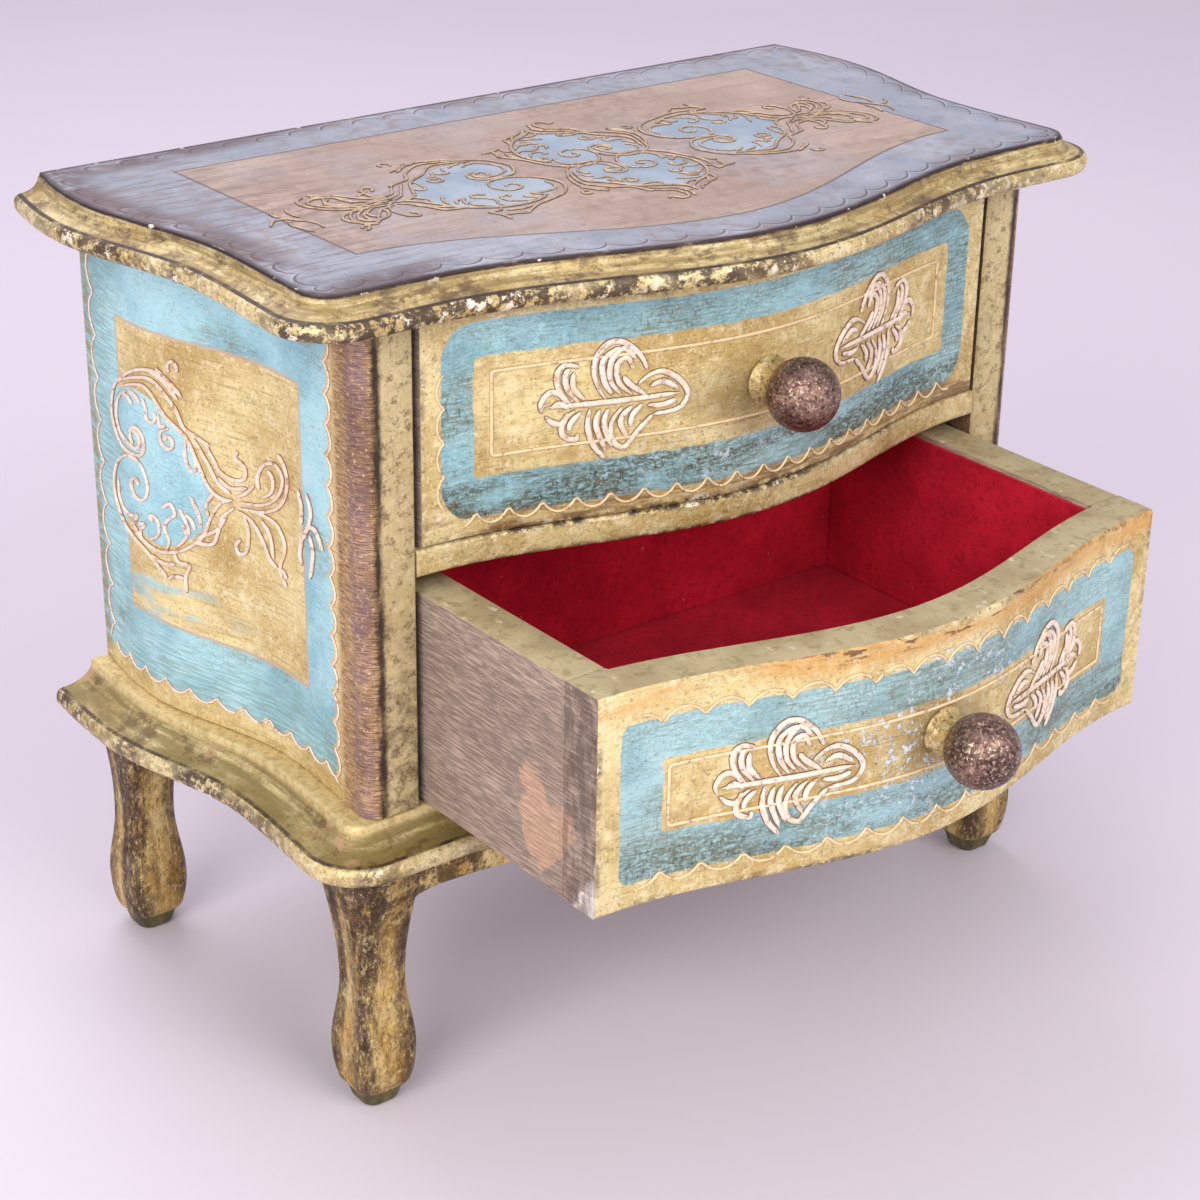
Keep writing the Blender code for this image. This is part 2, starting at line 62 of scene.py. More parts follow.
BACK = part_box("back_panel")[1].y / MM  # back of the case, from which depths are measured
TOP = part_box("top_board")[1].z / MM
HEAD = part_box("top_board")[0].z / MM
BASE_LOW, BASE_HIGH = (corner.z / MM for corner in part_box("base_board"))
HALF_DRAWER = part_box("upper_drawer_front")[1].x / MM
DRAWER_HEIGHT = (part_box("upper_drawer_front")[1].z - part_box("upper_drawer_front")[0].z) / MM
FRONT_BOW = 17.5
CASE_DEPTH = 119.8
HALF_OPENING = 91.8
CASE_WAIST = 104.0  # half width of the case where its sides draw in
SIDE_SWELL = 11.0  # how far a side stands out from the waist where it is broadest
SIDE_TAPER = 0.25  # share of that swell lost at the back
BROADEST = 27.0  # distance ahead of the back at which the plan is broadest
HALF_WELL = 78.8  # half width of the room in a drawer, as far as its sides
WELL_FRONT = 108.3
WELL_BACK = 12.5
APRON_REACH = 99.0  # half length of the apron, with its ends inside the legs
APRON_FRONT = 127.5
PULLED_OUT = {"upper": 0.0, "lower": 67.0}
FLOOR = {kind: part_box(f"{kind}_drawer_front")[0].z / MM for kind in ("upper", "lower")}


def shade(code):
    """Linear RGBA of a hex colour."""
    parts = [int(code[i : i + 2], 16) / 255 for i in (1, 3, 5)]
    return (*((p / 12.92 if p <= 0.04045 else ((p + 0.055) / 1.055) ** 2.4) for p in parts), 1.0)


# --- settings ------------------------------------------------------------------------------------


class ChestSizes(bpy.types.PropertyGroup):
    """Sizes of the decoration that a user may change."""

    relief_rise: bpy.props.FloatProperty(
        name="Relief rise", description="Height of the raised scrolls on drawers and sides",
        default=0.8 * MM, unit="LENGTH",
    )
    top_rise: bpy.props.FloatProperty(
        name="Top relief rise", description="Height of the low scrolls on the top",
        default=0.45 * MM, unit="LENGTH",
    )
    stroke_width: bpy.props.FloatProperty(
        name="Stroke width", description="Width of the raised scrolls", default=1.15 * MM, unit="LENGTH",
    )
    cord_width: bpy.props.FloatProperty(
        name="Cord width", description="Width of the scallop and panel lines",
        default=0.75 * MM, unit="LENGTH",
    )
    knob_radius: bpy.props.FloatProperty(
        name="Knob radius", description="Radius of the turned ball", default=9.1 * MM, unit="LENGTH",
    )
    felt_thickness: bpy.props.FloatProperty(
        name="Felt thickness", description="Thickness of the lining", default=1.0 * MM, unit="LENGTH",
    )


class ChestColours(bpy.types.PropertyGroup):
    """Main colours that a user may change."""

    turquoise: bpy.props.FloatVectorProperty(
        name="Turquoise", description="Painted fields", subtype="COLOR", size=4,
        default=shade("#abd8e0"),
    )
    gold: bpy.props.FloatVectorProperty(
        name="Gold", description="Bright gilding", subtype="COLOR", size=4, default=shade("#dfcd94"),
    )
    top_border: bpy.props.FloatVectorProperty(
        name="Top border", description="Grey-blue border of the top", subtype="COLOR", size=4,
        default=shade("#959daa"),
    )
    top_middle: bpy.props.FloatVectorProperty(
        name="Top middle", description="Warm panel of the top", subtype="COLOR", size=4,
        default=shade("#ab9688"),
    )
    felt: bpy.props.FloatVectorProperty(
        name="Felt", description="Lining of the drawers", subtype="COLOR", size=4,
        default=shade("#d61c38"),
    )
    relief: bpy.props.FloatVectorProperty(
        name="Relief", description="Raised scrolls on drawers", subtype="COLOR", size=4,
        default=shade("#ebdccf"),
    )


# --- node arithmetic -----------------------------------------------------------------------------


class Signal:
    """A value that a finish works out at each point. Arithmetic on it adds Math nodes."""

    def __init__(self, finish, socket):
        self.finish = finish
        self.socket = socket

    def __add__(self, other):
        return self.finish.work("ADD", self, other)

    def __sub__(self, other):
        return self.finish.work("SUBTRACT", self, other)

    def __rsub__(self, other):
        return self.finish.work("SUBTRACT", other, self)

    def __mul__(self, other):
        return self.finish.work("MULTIPLY", self, other)

    def __abs__(self):
        return self.finish.work("ABSOLUTE", self)

    __radd__ = __add__
    __rmul__ = __mul__

    def least(self, other):
        return self.finish.work("MINIMUM", self, other)

    def most(self, other):
        return self.finish.work("MAXIMUM", self, other)

    def scallop(self, pitch, bulge):
        """A row of arcs along this value, 0 at the cusps and bulge between them."""
        wave = abs(self.finish.work("SINE", self * (math.pi / pitch)))
        return self.finish.work("POWER", wave, ARC_POWER) * bulge

    def over(self, edge, soft=0.25):
        """1 where this is over the edge, with a soft step."""
        return self.finish.step(self, edge - soft, edge + soft)

    def under(self, edge, soft=0.25):
        """1 where this is under the edge, with a soft step."""
        return self.finish.step(self, edge + soft, edge - soft)

    def near(self, place, half):
        """1 on a line at this place, which fades out at half its width."""
        return abs(self - place).under(half * 0.75, half * 0.25)


class Finish:
    """A material being mixed, with its shader and the layers that feed it."""

    def __init__(self, name, roughness=0.5, metallic=0.0, uv=False):
        self.material = bpy.data.materials.new(name)
        self.material.use_nodes = True
        self.tree = self.material.node_tree
        self.tree.nodes.clear()
        self.shader = self.tree.nodes.new("ShaderNodeBsdfPrincipled")
        output = self.tree.nodes.new("ShaderNodeOutputMaterial")
        self.tree.links.new(self.shader.outputs["BSDF"], output.inputs["Surface"])
        self.shader.inputs["Roughness"].default_value = roughness
        self.shader.inputs["Metallic"].default_value = metallic
        self.flat = uv
        if uv:
            socket = self.lay()
        else:
            socket = self.tree.nodes.new("ShaderNodeTexCoord").outputs["Object"]
        self.place = self.scaled(socket, (1 / MM,) * 3)
        self.x, self.y, self.z = self.split(self.place)

    def lay(self):
        """Socket of the map that pieces carry along and up their faces."""
        source = self.tree.nodes.new("ShaderNodeUVMap")
        source.uv_map = "lay"
        return source.outputs["UV"]

    def split(self, socket):
        """The three parts of a place."""
        node = self.tree.nodes.new("ShaderNodeSeparateXYZ")
        self.tree.links.new(socket, node.inputs[0])
        return [Signal(self, part) for part in node.outputs]

    def scaled(self, socket, scale):
        node = self.tree.nodes.new("ShaderNodeVectorMath")
        node.operation = "MULTIPLY"
        self.tree.links.new(socket, node.inputs[0])
        node.inputs[1].default_value = scale
        return node.outputs[0]

    def spread(self, along, up):
        """Noise scale with this many waves a millimetre along a face and up it."""
        return (along, up, 1.0) if self.flat else (along, along, up)

    def feed(self, socket, value):
        if isinstance(value, Signal):
            self.tree.links.new(value.socket, socket)
        else:
            socket.default_value = value

    def work(self, operation, *values):
        node = self.tree.nodes.new("ShaderNodeMath")
        node.operation = operation
        for socket, value in zip(node.inputs, values):
            self.feed(socket, value)
        return Signal(self, node.outputs[0])

    def step(self, value, low, high):
        """0 at low, 1 at high, and a soft step between."""
        node = self.tree.nodes.new("ShaderNodeMapRange")
        node.interpolation_type = "SMOOTHSTEP"
        self.feed(node.inputs["Value"], value)
        node.inputs["From Min"].default_value = low
        node.inputs["From Max"].default_value = high
        return Signal(self, node.outputs["Result"])

    def noise(self, scale, low=0.0, high=1.0, detail=4.0, roughness=0.55, shift=0.0):
        """Cloudy noise with this many waves a millimetre, stepped from low to high."""
        spread = (scale,) * 3 if isinstance(scale, float) else scale
        place = self.scaled(self.place, spread)
        node = self.tree.nodes.new("ShaderNodeTexNoise")
        node.noise_dimensions = "4D"
        node.inputs["W"].default_value = shift
        node.inputs["Scale"].default_value = 1.0
        node.inputs["Detail"].default_value = detail
        node.inputs["Roughness"].default_value = roughness
        self.tree.links.new(place, node.inputs["Vector"])
        raw = Signal(self, node.outputs[0])
        return raw if (low, high) == (0.0, 1.0) else self.step(raw, low, high)

    def crackle(self, spread, width):
        """Fine lines between cells."""
        node = self.tree.nodes.new("ShaderNodeTexVoronoi")
        node.feature = "DISTANCE_TO_EDGE"
        node.inputs["Scale"].default_value = 1.0
        self.tree.links.new(self.scaled(self.place, spread), node.inputs["Vector"])
        return self.step(Signal(self, node.outputs[0]), width, 0.0)

    def mix(self, share, under, over):
        """over laid on under by this share."""
        node = self.tree.nodes.new("ShaderNodeMix")
        node.data_type = "RGBA"
        self.feed(node.inputs[0], share)
        self.feed(node.inputs[6], under)
        self.feed(node.inputs[7], over)
        return Signal(self, node.outputs[2])

    def colour(self, value):
        self.feed(self.shader.inputs["Base Color"], value)

    def rough(self, value):
        self.feed(self.shader.inputs["Roughness"], value)

    def metal(self, value):
        self.feed(self.shader.inputs["Metallic"], value)

    def raise_by(self, height, depth):
        """Bump of this depth in millimetres where height goes from 0 to 1."""
        node = self.tree.nodes.new("ShaderNodeBump")
        node.inputs["Strength"].default_value = 1.0
        node.inputs["Distance"].default_value = depth * MM
        self.feed(node.inputs["Height"], height)
        self.tree.links.new(node.outputs[0], self.shader.inputs["Normal"])

    def box(self, u, v, low, high, radius=0.5):
        """Signed distance from a rounded rectangle, negative inside."""
        centre = [(a + b) / 2 for a, b in zip(low, high)]
        half = [(b - a) / 2 - radius for a, b in zip(low, high)]
        du, dv = abs(u - centre[0]) - half[0], abs(v - centre[1]) - half[1]
        pu, pv = du.most(0.0), dv.most(0.0)
        corner = self.work("SQRT", pu * pu + pv * pv)
        return corner + du.most(dv).least(0.0) - radius


# --- finishes ------------------------------------------------------------------------------------

OLIVE = shade("#8d7b40")
BROWN = shade("#5a3e28")
DARK = shade("#2a1c17")
GESSO = shade("#eadfce")
SIDE_PITCH = 7.7
BOTTOM_PITCH = 9.0
SCALLOP_BULGE = 3.0
FRONT_BULGE = 3.7
FIELD_FRONT = 105.0  # front edge of a side's field, measured along the face from the back
FIELD_LOW = 8.2  # lower edge of a side's field, above the panel's foot
CUSPS = 2.0  # how far the cusps of the scallops stand inside the field
WORN_FROM = FIELD_FRONT + 4.2  # where the rubbed front corner of a side begins

# Drawer fronts in millimetres, across from their middle and up from their underside. One place on each marks
# the middle of a dark patch by the knob, partly staining and partly painted shadow of the knob.
FRONT_LAYOUT = {
    "upper": {
        "field": ((-84.5, 4.6), (85.0, 53.4)), "corner": 9.0, "outer": ((-76.0, 14.8), (76.5, 44.6)),
        "line": ((-71.5, 19.6), (72.0, 40.6)), "pitch": 8.4, "stain_and_shadow": (-9.0, 26.0), "level": 29.7,
    },
    "lower": {
        "field": ((-83.5, 6.4), (84.0, 47.4)), "corner": 3.0, "outer": ((-72.5, 17.6), (73.0, 36.8)),
        "line": ((-71.0, 19.2), (71.4, 34.8)), "pitch": 10.4, "stain_and_shadow": (0.0, 28.0), "level": 26.1,
    },
}


def gilded(f, along=0.5, up=0.5, wear=0.5):
    """Aged gold paint: clear gold, olive bloom, brown rubs, dark specks and fine crazing."""
    gold = tuple(bpy.context.scene.chest_colours.gold)
    colour = f.mix(f.noise(0.035, 0.36, 0.64, shift=1.0), shade("#bb9f60"), gold)
    colour = f.mix(f.noise(0.25, 0.46, 0.72, 6.0, 0.66, 2.0) * 0.7, colour, shade("#f1e6bd"))
    bloom = f.noise(f.spread(along * 0.35, up * 0.35), 0.50 - 0.05 * wear, 0.70, 5.0, 0.62, 3.0)
    colour = f.mix(bloom * (0.3 + 0.5 * wear), colour, OLIVE)
    rub = f.noise(f.spread(along * 0.7, up * 0.7), 0.61 - 0.14 * wear, 0.69 - 0.12 * wear, 8.0, 0.74, 5.0)
    colour = f.mix(rub * (0.25 + 0.65 * wear), colour, BROWN)
    speck = f.noise(f.spread(along * 3.0, up * 3.0), 0.62 - 0.07 * wear, 0.70 - 0.05 * wear, 6.0, 0.7, 7.0)
    colour = f.mix(speck * (0.25 + 0.5 * wear), colour, DARK)
    crazing = f.crackle(f.spread(0.75, 0.38), 0.045) * f.noise(0.08, 0.42, 0.6, shift=9.0)
    colour = f.mix(crazing * 0.4, colour, BROWN)
    colour = f.mix(f.noise(f.spread(0.7, 1.1), 0.53, 0.59, 9.0, 0.82, 6.0) * 0.6, colour, shade("#6d4f28"))
    return f.mix(f.noise(f.spread(1.2, 0.8), 0.54, 0.60, 8.0, 0.82, 8.0) * 0.55, colour, shade("#fbf0cf"))


def gold_finish(name, uv=False, metallic=0.35):
    """A finish with the shine of worn gilding, still without its colour."""
    f = Finish(name, uv=uv)
    f.metal(metallic)
    f.rough(f.noise(0.8, 0.2, 0.8, shift=12.0) * 0.28 + 0.30)
    return f


def chipped(f, colour, where, amount=0.5):
    """Worn edge: stretches rubbed to dark bole, specks of painted highlight and pale chips."""
    # Painted highlight: pale cream specks along the edge.
    bright = f.noise(0.45, 0.50, 0.62, 7.0, 0.72, 14.0) * where
    colour = f.mix(bright * 0.75, colour, shade("#f0e2bd"))
    stretch = f.noise(0.022, 0.50 - 0.10 * amount, 0.64 - 0.08 * amount, 4.0, 0.6, 15.0)
    rub = f.noise(0.30, 0.44, 0.52, 8.0, 0.76, 11.0) * stretch
    rub = rub.most(f.noise(0.55, 0.57, 0.62, 7.0, 0.74, 16.0) * 0.8) * where
    colour = f.mix(rub * 0.92, colour, shade("#38261f"))
    chip = f.noise(0.20, 0.60 - 0.03 * amount, 0.62 - 0.03 * amount, 8.0, 0.70, 17.0) * stretch * where
    return f.mix(chip * 0.95, colour, GESSO)


def rubbed_blue(f, wear=0.5, shift=20.0):
    """Thin blue-green paint: brush clouds, streaks down to olive, dark ticks, crazing and flecks."""
    base = tuple(bpy.context.scene.chest_colours.turquoise)
    colour = f.mix(f.noise(0.035, 0.4, 0.62, shift=shift), base, shade("#8bbbc8"))
    colour = f.mix(f.noise(0.13, 0.52, 0.8, shift=shift + 1) * 0.7, colour, shade("#c0dde4"))
    worn = f.noise(f.spread(0.022, 0.045), 0.56 - 0.14 * wear, 0.70 - 0.12 * wear, 4.0, 0.6, shift + 2)
    streak = f.noise(f.spread(0.16, 1.7), 0.42, 0.60, 7.0, 0.72, shift + 3)
    colour = f.mix(streak * worn * 0.8, colour, shade("#77754c"))
    tick = f.noise(f.spread(1.5, 0.45), 0.52, 0.62, 6.0, 0.72, shift + 4)
    colour = f.mix(tick * worn * 0.65, colour, shade("#3d4a40"))
    thin = f.noise(f.spread(0.10, 2.4), 0.55, 0.68, 5.0, 0.66, shift + 5)
    colour = f.mix(thin * 0.5, colour, shade("#557a78"))
    crazing = f.crackle(f.spread(0.55, 0.9), 0.05) * f.noise(0.06, 0.4, 0.6, shift=shift + 6)
    colour = f.mix(crazing * 0.45, colour, shade("#4c5f58"))
    hatch = f.noise(f.spread(0.5, 1.6), 0.53, 0.59, 9.0, 0.82, shift + 8)
    colour = f.mix(hatch * (0.25 + 0.3 * wear), colour, shade("#4f665f"))
    fleck = f.noise(f.spread(0.9, 1.4), 0.55, 0.61, 8.0, 0.82, shift + 9)
    colour = f.mix(fleck * 0.45, colour, shade("#dcedf2"))
    return f.mix(f.noise(0.9, 0.66, 0.72, shift=shift + 7) * 0.7, colour, GESSO)


def side_finish(low):
    """Painted side: field with a gold panel, scalloped edges and a rubbed front corner."""
    f = gold_finish("side_paint", uv=True, metallic=0.1)
    u, v = f.x, f.y
    wobble = (f.noise(0.25, shift=41.0) - 0.5) * 1.6
    gold = gilded(f, 0.16, 0.9, 0.12)
    gold = f.mix(f.noise(f.spread(0.07, 1.3), 0.54, 0.66, 5.0, shift=43.0) * 0.5, gold, shade("#96773c"))
    front = u - v.scallop(SIDE_PITCH, SCALLOP_BULGE)
    bottom = v - (low + FIELD_LOW) + u.scallop(BOTTOM_PITCH, SCALLOP_BULGE)
    inside = front.under(FIELD_FRONT - CUSPS) * bottom.over(0.0)
    blue = rubbed_blue(f, 0.35)
    brush = f.noise(f.spread(0.12, 1.6), 0.4, 0.6, shift=44.0)
    shaded = u.under(22.0, 9.0).most(v.under(low + 22.0, 10.0)) * brush
    blue = f.mix(shaded * 0.5, blue, shade("#6f8a72"))
    colour = f.mix(inside, gold, blue)
    grime = u.under(5.0, 1.5) * f.noise(f.spread(0.2, 0.5), 0.35, 0.6, shift=46.0)
    colour = f.mix(grime * 0.8, colour, OLIVE)
    panel = f.box(u, v, (22.5, low + 24.4), (91.5, low + 102.8), 0.4) + wobble * 0.6
    colour = f.mix(panel.under(0.0, 0.3), colour, gold)
    brushed = f.noise(f.spread(0.05, 0.25), 0.5, 0.6, shift=48.0) * panel.under(0.0)
    brushed = brushed * v.under(low + 38.0, 8.0) * u.under(60.0, 18.0)
    colour = f.mix(brushed * 0.8, colour, blue)
    colour = f.mix(panel.near(0.4, 0.5) * 0.75, colour, shade("#caa27e"))
    rubbed = u.over(WORN_FROM, 1.6)
    ridges = f.noise(f.spread(0.24, 2.9), 0.40, 0.60, 9.0, 0.82, 45.0)
    worn = f.mix(ridges, shade("#ebc48e"), shade("#5d3019"))
    middle = u.near((WORN_FROM + CORNER_END) / 2 + 1.6, 4.2)
    plum = f.noise(0.06, 0.36, 0.58, 6.0, 0.66, 47.0) * middle
    worn = f.mix(plum * (ridges * 0.35 + 0.30), worn, shade("#7c6288"))
    umber = f.noise(0.03, 0.46, 0.62, 5.0, shift=57.0) * u.over(FIELD_FRONT + 9.0, 4.0)
    worn = f.mix(umber * 0.5, worn, shade("#5c3424"))
    worn = f.mix(f.noise(0.7, 0.55, 0.62, 8.0, 0.78, 50.0) * 0.85, worn, shade("#f3dcab"))
    colour = f.mix(rubbed, colour, worn)
    stile = f.mix(0.35, gilded(f, 0.5, 0.3, 0.05), shade("#efdcae"))
    stile = f.mix(u.over(CORNER_END + 8.0, 4.0) * 0.3, stile, shade("#8d8450"))
    stile = f.mix(f.noise(0.30, 0.51, 0.57, 10.0, 0.84, 56.0) * 0.7, stile, shade("#6b4a2a"))
    # Stile darker towards the bottom, in brown patches.
    darker_low = v.under(low + 40.0, 30.0) * f.noise(0.25, 0.42, 0.6, 6.0, 0.7, 52.0)
    stile = f.mix(darker_low * 0.7, stile, BROWN)
    colour = f.mix(u.over(CORNER_END - 0.3, 0.8), colour, stile)
    arris = abs(u - (CORNER_END - 0.8) + (f.noise(0.6, shift=54.0) - 0.5) * 2.0).under(1.1, 0.8)
    broken = f.noise(f.spread(0.3, 0.06), 0.34, 0.54, 5.0, 0.6, 49.0)
    colour = f.mix(arris * (broken * 0.8 + 0.15), colour, DARK)
    f.colour(colour)
    f.rough(0.42 + f.noise(0.5, shift=53.0) * 0.25)
    f.raise_by(ridges * rubbed * 0.5 + f.noise(f.spread(0.2, 1.8), detail=6.0, shift=55.0) * 0.6, 0.2)
    return f.material


def front_finish(kind):
    """Painted drawer front: gold margin, blue field, gold panel, wear round the knob and a dark patch by it,
    partly staining and partly painted shadow of the knob.
    """
    layout = FRONT_LAYOUT[kind]
    f = gold_finish(f"{kind}_front_paint", metallic=0.1)
    u, v = f.x, f.z - FLOOR[kind]
    wobble = (f.noise(0.22, shift=71.0) - 0.5) * 2.2
    margin = gilded(f, 0.6, 0.6, 0.2)
    blue = rubbed_blue(f, 1.0 if kind == "upper" else 0.8, 130.0)
    if kind == "lower":
        blue = f.mix(0.22, blue, shade("#8f9c92"))
    low, high = layout["field"]
    rows = v.over(low[1] + 3.0) * v.under(high[1] - 3.0)
    field = (f.box(u, v, low, high, layout["corner"]) + wobble * 0.6).under(0.0)
    lower_edge = (v - low[1] - 2.0 + u.scallop(layout["pitch"], FRONT_BULGE)).over(0.0)
    inside = field * (rows + lower_edge * v.under(low[1] + 3.0)).least(1.0)
    upper_edge = high[1] - 2.0 - v + u.scallop(layout["pitch"], FRONT_BULGE)
    ragged = high[1] + wobble - v if kind == "upper" else upper_edge
    inside = inside.most(field * ragged.over(0.0) * v.over(high[1] - 3.2))
    colour = f.mix(inside, margin, blue)
    low_band = v.under(15.0, 4.0) * (0.95 if kind == "upper" else 0.5)
    stained = f.noise(f.spread(0.025, 0.09), 0.38, 0.54, 6.0, 0.66, 72.0) * (low_band + 0.3)
    weave = f.noise(f.spread(0.5, 1.3), 0.44, 0.53, 9.0, 0.80, 74.0)
    colour = f.mix(inside * stained.least(1.0) * weave * 0.9, colour, shade("#57563a"))
    dark = f.noise(f.spread(0.9, 0.5), 0.53, 0.58, 8.0, 0.8, 89.0) * stained.least(1.0)
    colour = f.mix(inside * dark * 0.85, colour, shade("#2f3a35"))
    margin = f.mix(f.noise(0.09, 0.50, 0.66, 8.0, 0.76, 91.5) * 0.55, margin, shade("#a67f48"))
    panel = f.box(u, v, *layout["outer"], 1.2) + wobble * 0.8
    inner = f.mix(f.noise(f.spread(0.10, 0.5), 0.46, 0.66, 7.0, 0.7, 75.0) * 0.5, margin, shade("#ab8c4b"))
    colour = f.mix(panel.under(0.0, 0.35), colour, inner)
    stain_and_shadow_u, stain_and_shadow_v = layout["stain_and_shadow"]
    du, dv = (u - stain_and_shadow_u) * 0.62, v - stain_and_shadow_v
    away = f.work("SQRT", du * du + dv * dv)
    # Dark olive patch by the knob: partly staining, partly painted shadow of the knob.
    colour = f.mix((away + wobble * 2.0).under(7.5, 5.0) * 0.5, colour, shade("#6e5a2c"))
    around = (away + wobble * 3.0).under(21.0, 9.0)
    losses = f.noise(0.42, 0.52, 0.56, 8.0, 0.76, 77.0) * around * f.noise(0.07, 0.40, 0.52, shift=76.0)
    if kind == "upper":
        losses = losses * v.under(16.0, 5.0) * 0.8
    colour = f.mix(losses * 0.9, colour, shade("#d6e4ee"))
    pits = f.noise(0.7, 0.60, 0.64, 6.0, 0.7, 78.0) * around
    colour = f.mix(pits * 0.7, colour, shade("#55604f"))
    scuff = f.noise(f.spread(0.08, 1.6), 0.58, 0.66, 5.0, 0.66, 81.0)
    colour = f.mix(scuff * 0.45, colour, shade("#6d5a35"))
    rim = v.under(1.5, 1.0).most(v.over(DRAWER_HEIGHT - 1.5, 1.0))
    colour = chipped(f, colour, rim.most(abs(u).over(HALF_DRAWER - 1.3, 0.9)), 0.4)
    if kind == "lower":
        orange = v.over(DRAWER_HEIGHT - 5.2, 2.2) * f.noise(f.spread(0.03, 0.2), 0.40, 0.58, shift=83.0)
        colour = f.mix(orange * 0.6, colour, shade("#cf9345"))
        flaked = v.over(DRAWER_HEIGHT - 3.6, 1.0) * abs(u).under(45.0, 25.0)
        flaked = flaked * f.noise(f.spread(0.12, 0.5), 0.54, 0.57, 7.0, 0.7, 84.0)
        colour = f.mix(flaked * 0.85, colour, shade("#54392a"))
    else:
        edge = v.under(5.5, 2.0) * f.noise(f.spread(0.06, 0.5), 0.42, 0.58, 6.0, 0.68, 86.0)
        colour = f.mix(edge * 0.75, colour, shade("#6a4426"))
    f.colour(colour)
    f.rough(0.42 + f.noise(0.5, shift=85.0) * 0.25)
    f.raise_by(f.noise(f.spread(0.3, 1.7), detail=6.0, shift=87.0) - losses * 0.6, 0.2)
    return f.material


def banded(name, metallic):
    """Finish of a piece whose map gives millimetres along it, then the number of its band."""
    f = gold_finish(name, metallic=metallic)
    along, band, _ = f.split(f.scaled(f.lay(), (1 / MM,) * 3))
    return f, along, band


def top_finish():
    """Top board: lip, cove and worn edge by band; border, scallops and warm panel on the flat."""
    f, along, band = banded("top_paint", 0.2)
    x, y = f.x, f.y - BACK
    colours = bpy.context.scene.chest_colours
    gold = gilded(f, 0.5, 0.8, 0.5)
    lip = chipped(f, gold, band.under(1.05, 0.1), 0.9)
    cove = f.mix(f.noise(f.spread(0.05, 1.2), 0.36, 0.62, 5.0, shift=91.0) * 0.8, gold, shade("#877246"))
    cove = f.mix(f.noise(f.spread(0.12, 0.3), 0.49, 0.60, 8.0, 0.74, 92.0) * 0.75, cove, shade("#5a4432"))
    colour = f.mix(band.over(1.0, 0.08), lip, cove)
    seam = band.near(1.05, 0.14).most(band.near(2.45, 0.5))
    colour = f.mix(seam * f.noise(0.09, 0.30, 0.52, 7.0, 0.74, 93.0) * 0.95, colour, DARK)
    inset = (band - 3.0) * 10.0
    border = f.mix(f.noise(0.03, 0.36, 0.64, shift=95.0), tuple(colours.top_border), shade("#abb0bb"))
    border = f.mix(f.noise(0.10, 0.50, 0.72, 6.0, shift=97.0) * 0.6, border, shade("#7c8a9c"))
    middle = f.mix(f.noise(0.04, 0.4, 0.62, shift=99.0), tuple(colours.top_middle), shade("#bba698"))
    middle = f.mix(f.noise((0.03, 0.4, 1.0), 0.48, 0.66, 6.0, shift=101.0) * 0.5, middle, shade("#9c8474"))
    middle = f.mix(f.noise(0.02, 0.5, 0.66, shift=102.0) * 0.45, middle, shade("#a5a8b6"))
    half, front, bow, rear = 94.0, 101.0, 13.0, 18.5
    ahead = y * -1.0 - (front + bow) - f.work("COSINE", x * (math.pi / half)) * bow
    panel = (abs(x) - half).most(ahead).most(y + rear)
    flat = f.mix(panel.under(0.0), border, middle)
    flat = f.mix(panel.near(0.0, 0.5) * 0.75, flat, shade("#5d4c44"))
    row = inset - 6.2 + along.scallop(10.2, 3.4)
    flat = f.mix(row.near(0.0, 0.36) * 0.85, flat, shade("#4c444a"))
    flat = f.mix(row.near(-0.8, 0.5) * 0.35, flat, shade("#cfd3dc"))
    scratch = f.noise((0.09, 1.6, 1.0), 0.56, 0.66, 6.0, 0.7, 103.0)
    flat = f.mix(scratch * 0.45, flat, shade("#6f6360"))
    flat = f.mix(f.noise(0.9, 0.62, 0.72, 5.0, shift=105.0) * 0.5, flat, shade("#dcd8de"))
    flat = f.mix(f.noise(0.45, 0.58, 0.68, 7.0, 0.7, 107.0) * 0.5, flat, shade("#5b504a"))
    left = (x * -1.0 - 40.0).most(0.0).least(50.0) * 0.02
    bare = (inset - left * 5.0).under(4.5, 4.5) * f.noise(0.05, 0.36, 0.56, 7.0, 0.66, 111.0)
    flat = f.mix(bare * (left * 0.3 + 0.55), flat, shade("#5c4848"))
    grime = f.noise((0.05, 0.5, 1.0), 0.46, 0.62, 7.0, 0.7, 116.0) * left
    flat = f.mix(grime * 0.55, flat, shade("#665450"))
    mottle = f.noise(0.02, 0.46, 0.6, shift=112.0) * f.noise(0.25, 0.42, 0.66, 7.0, shift=114.0)
    flat = f.mix(mottle * 0.5, flat, shade("#8a7368"))
    colour = f.mix(band.over(3.02, 0.02), colour, flat)
    worn = inset.under(1.1, 1.0) * band.over(2.3, 0.2)
    colour = f.mix(worn * f.noise(0.13, 0.26, 0.5, 7.0, 0.7, 109.0), colour, shade("#35262a"))
    nick = inset.under(0.8, 0.8) * band.over(2.0, 0.3) * f.noise(0.2, 0.61, 0.63, 6.0, 0.66, 110.0)
    colour = f.mix(nick, colour, GESSO)
    f.colour(colour)
    f.rough(0.34 + f.noise(0.25, shift=113.0) * 0.30)
    height = f.noise(0.5, detail=7.0, shift=115.0) - row.near(0.0, 0.5) * 0.8 - panel.near(0.0, 0.6) * 0.8
    f.raise_by(height, 0.2)
    return f.material


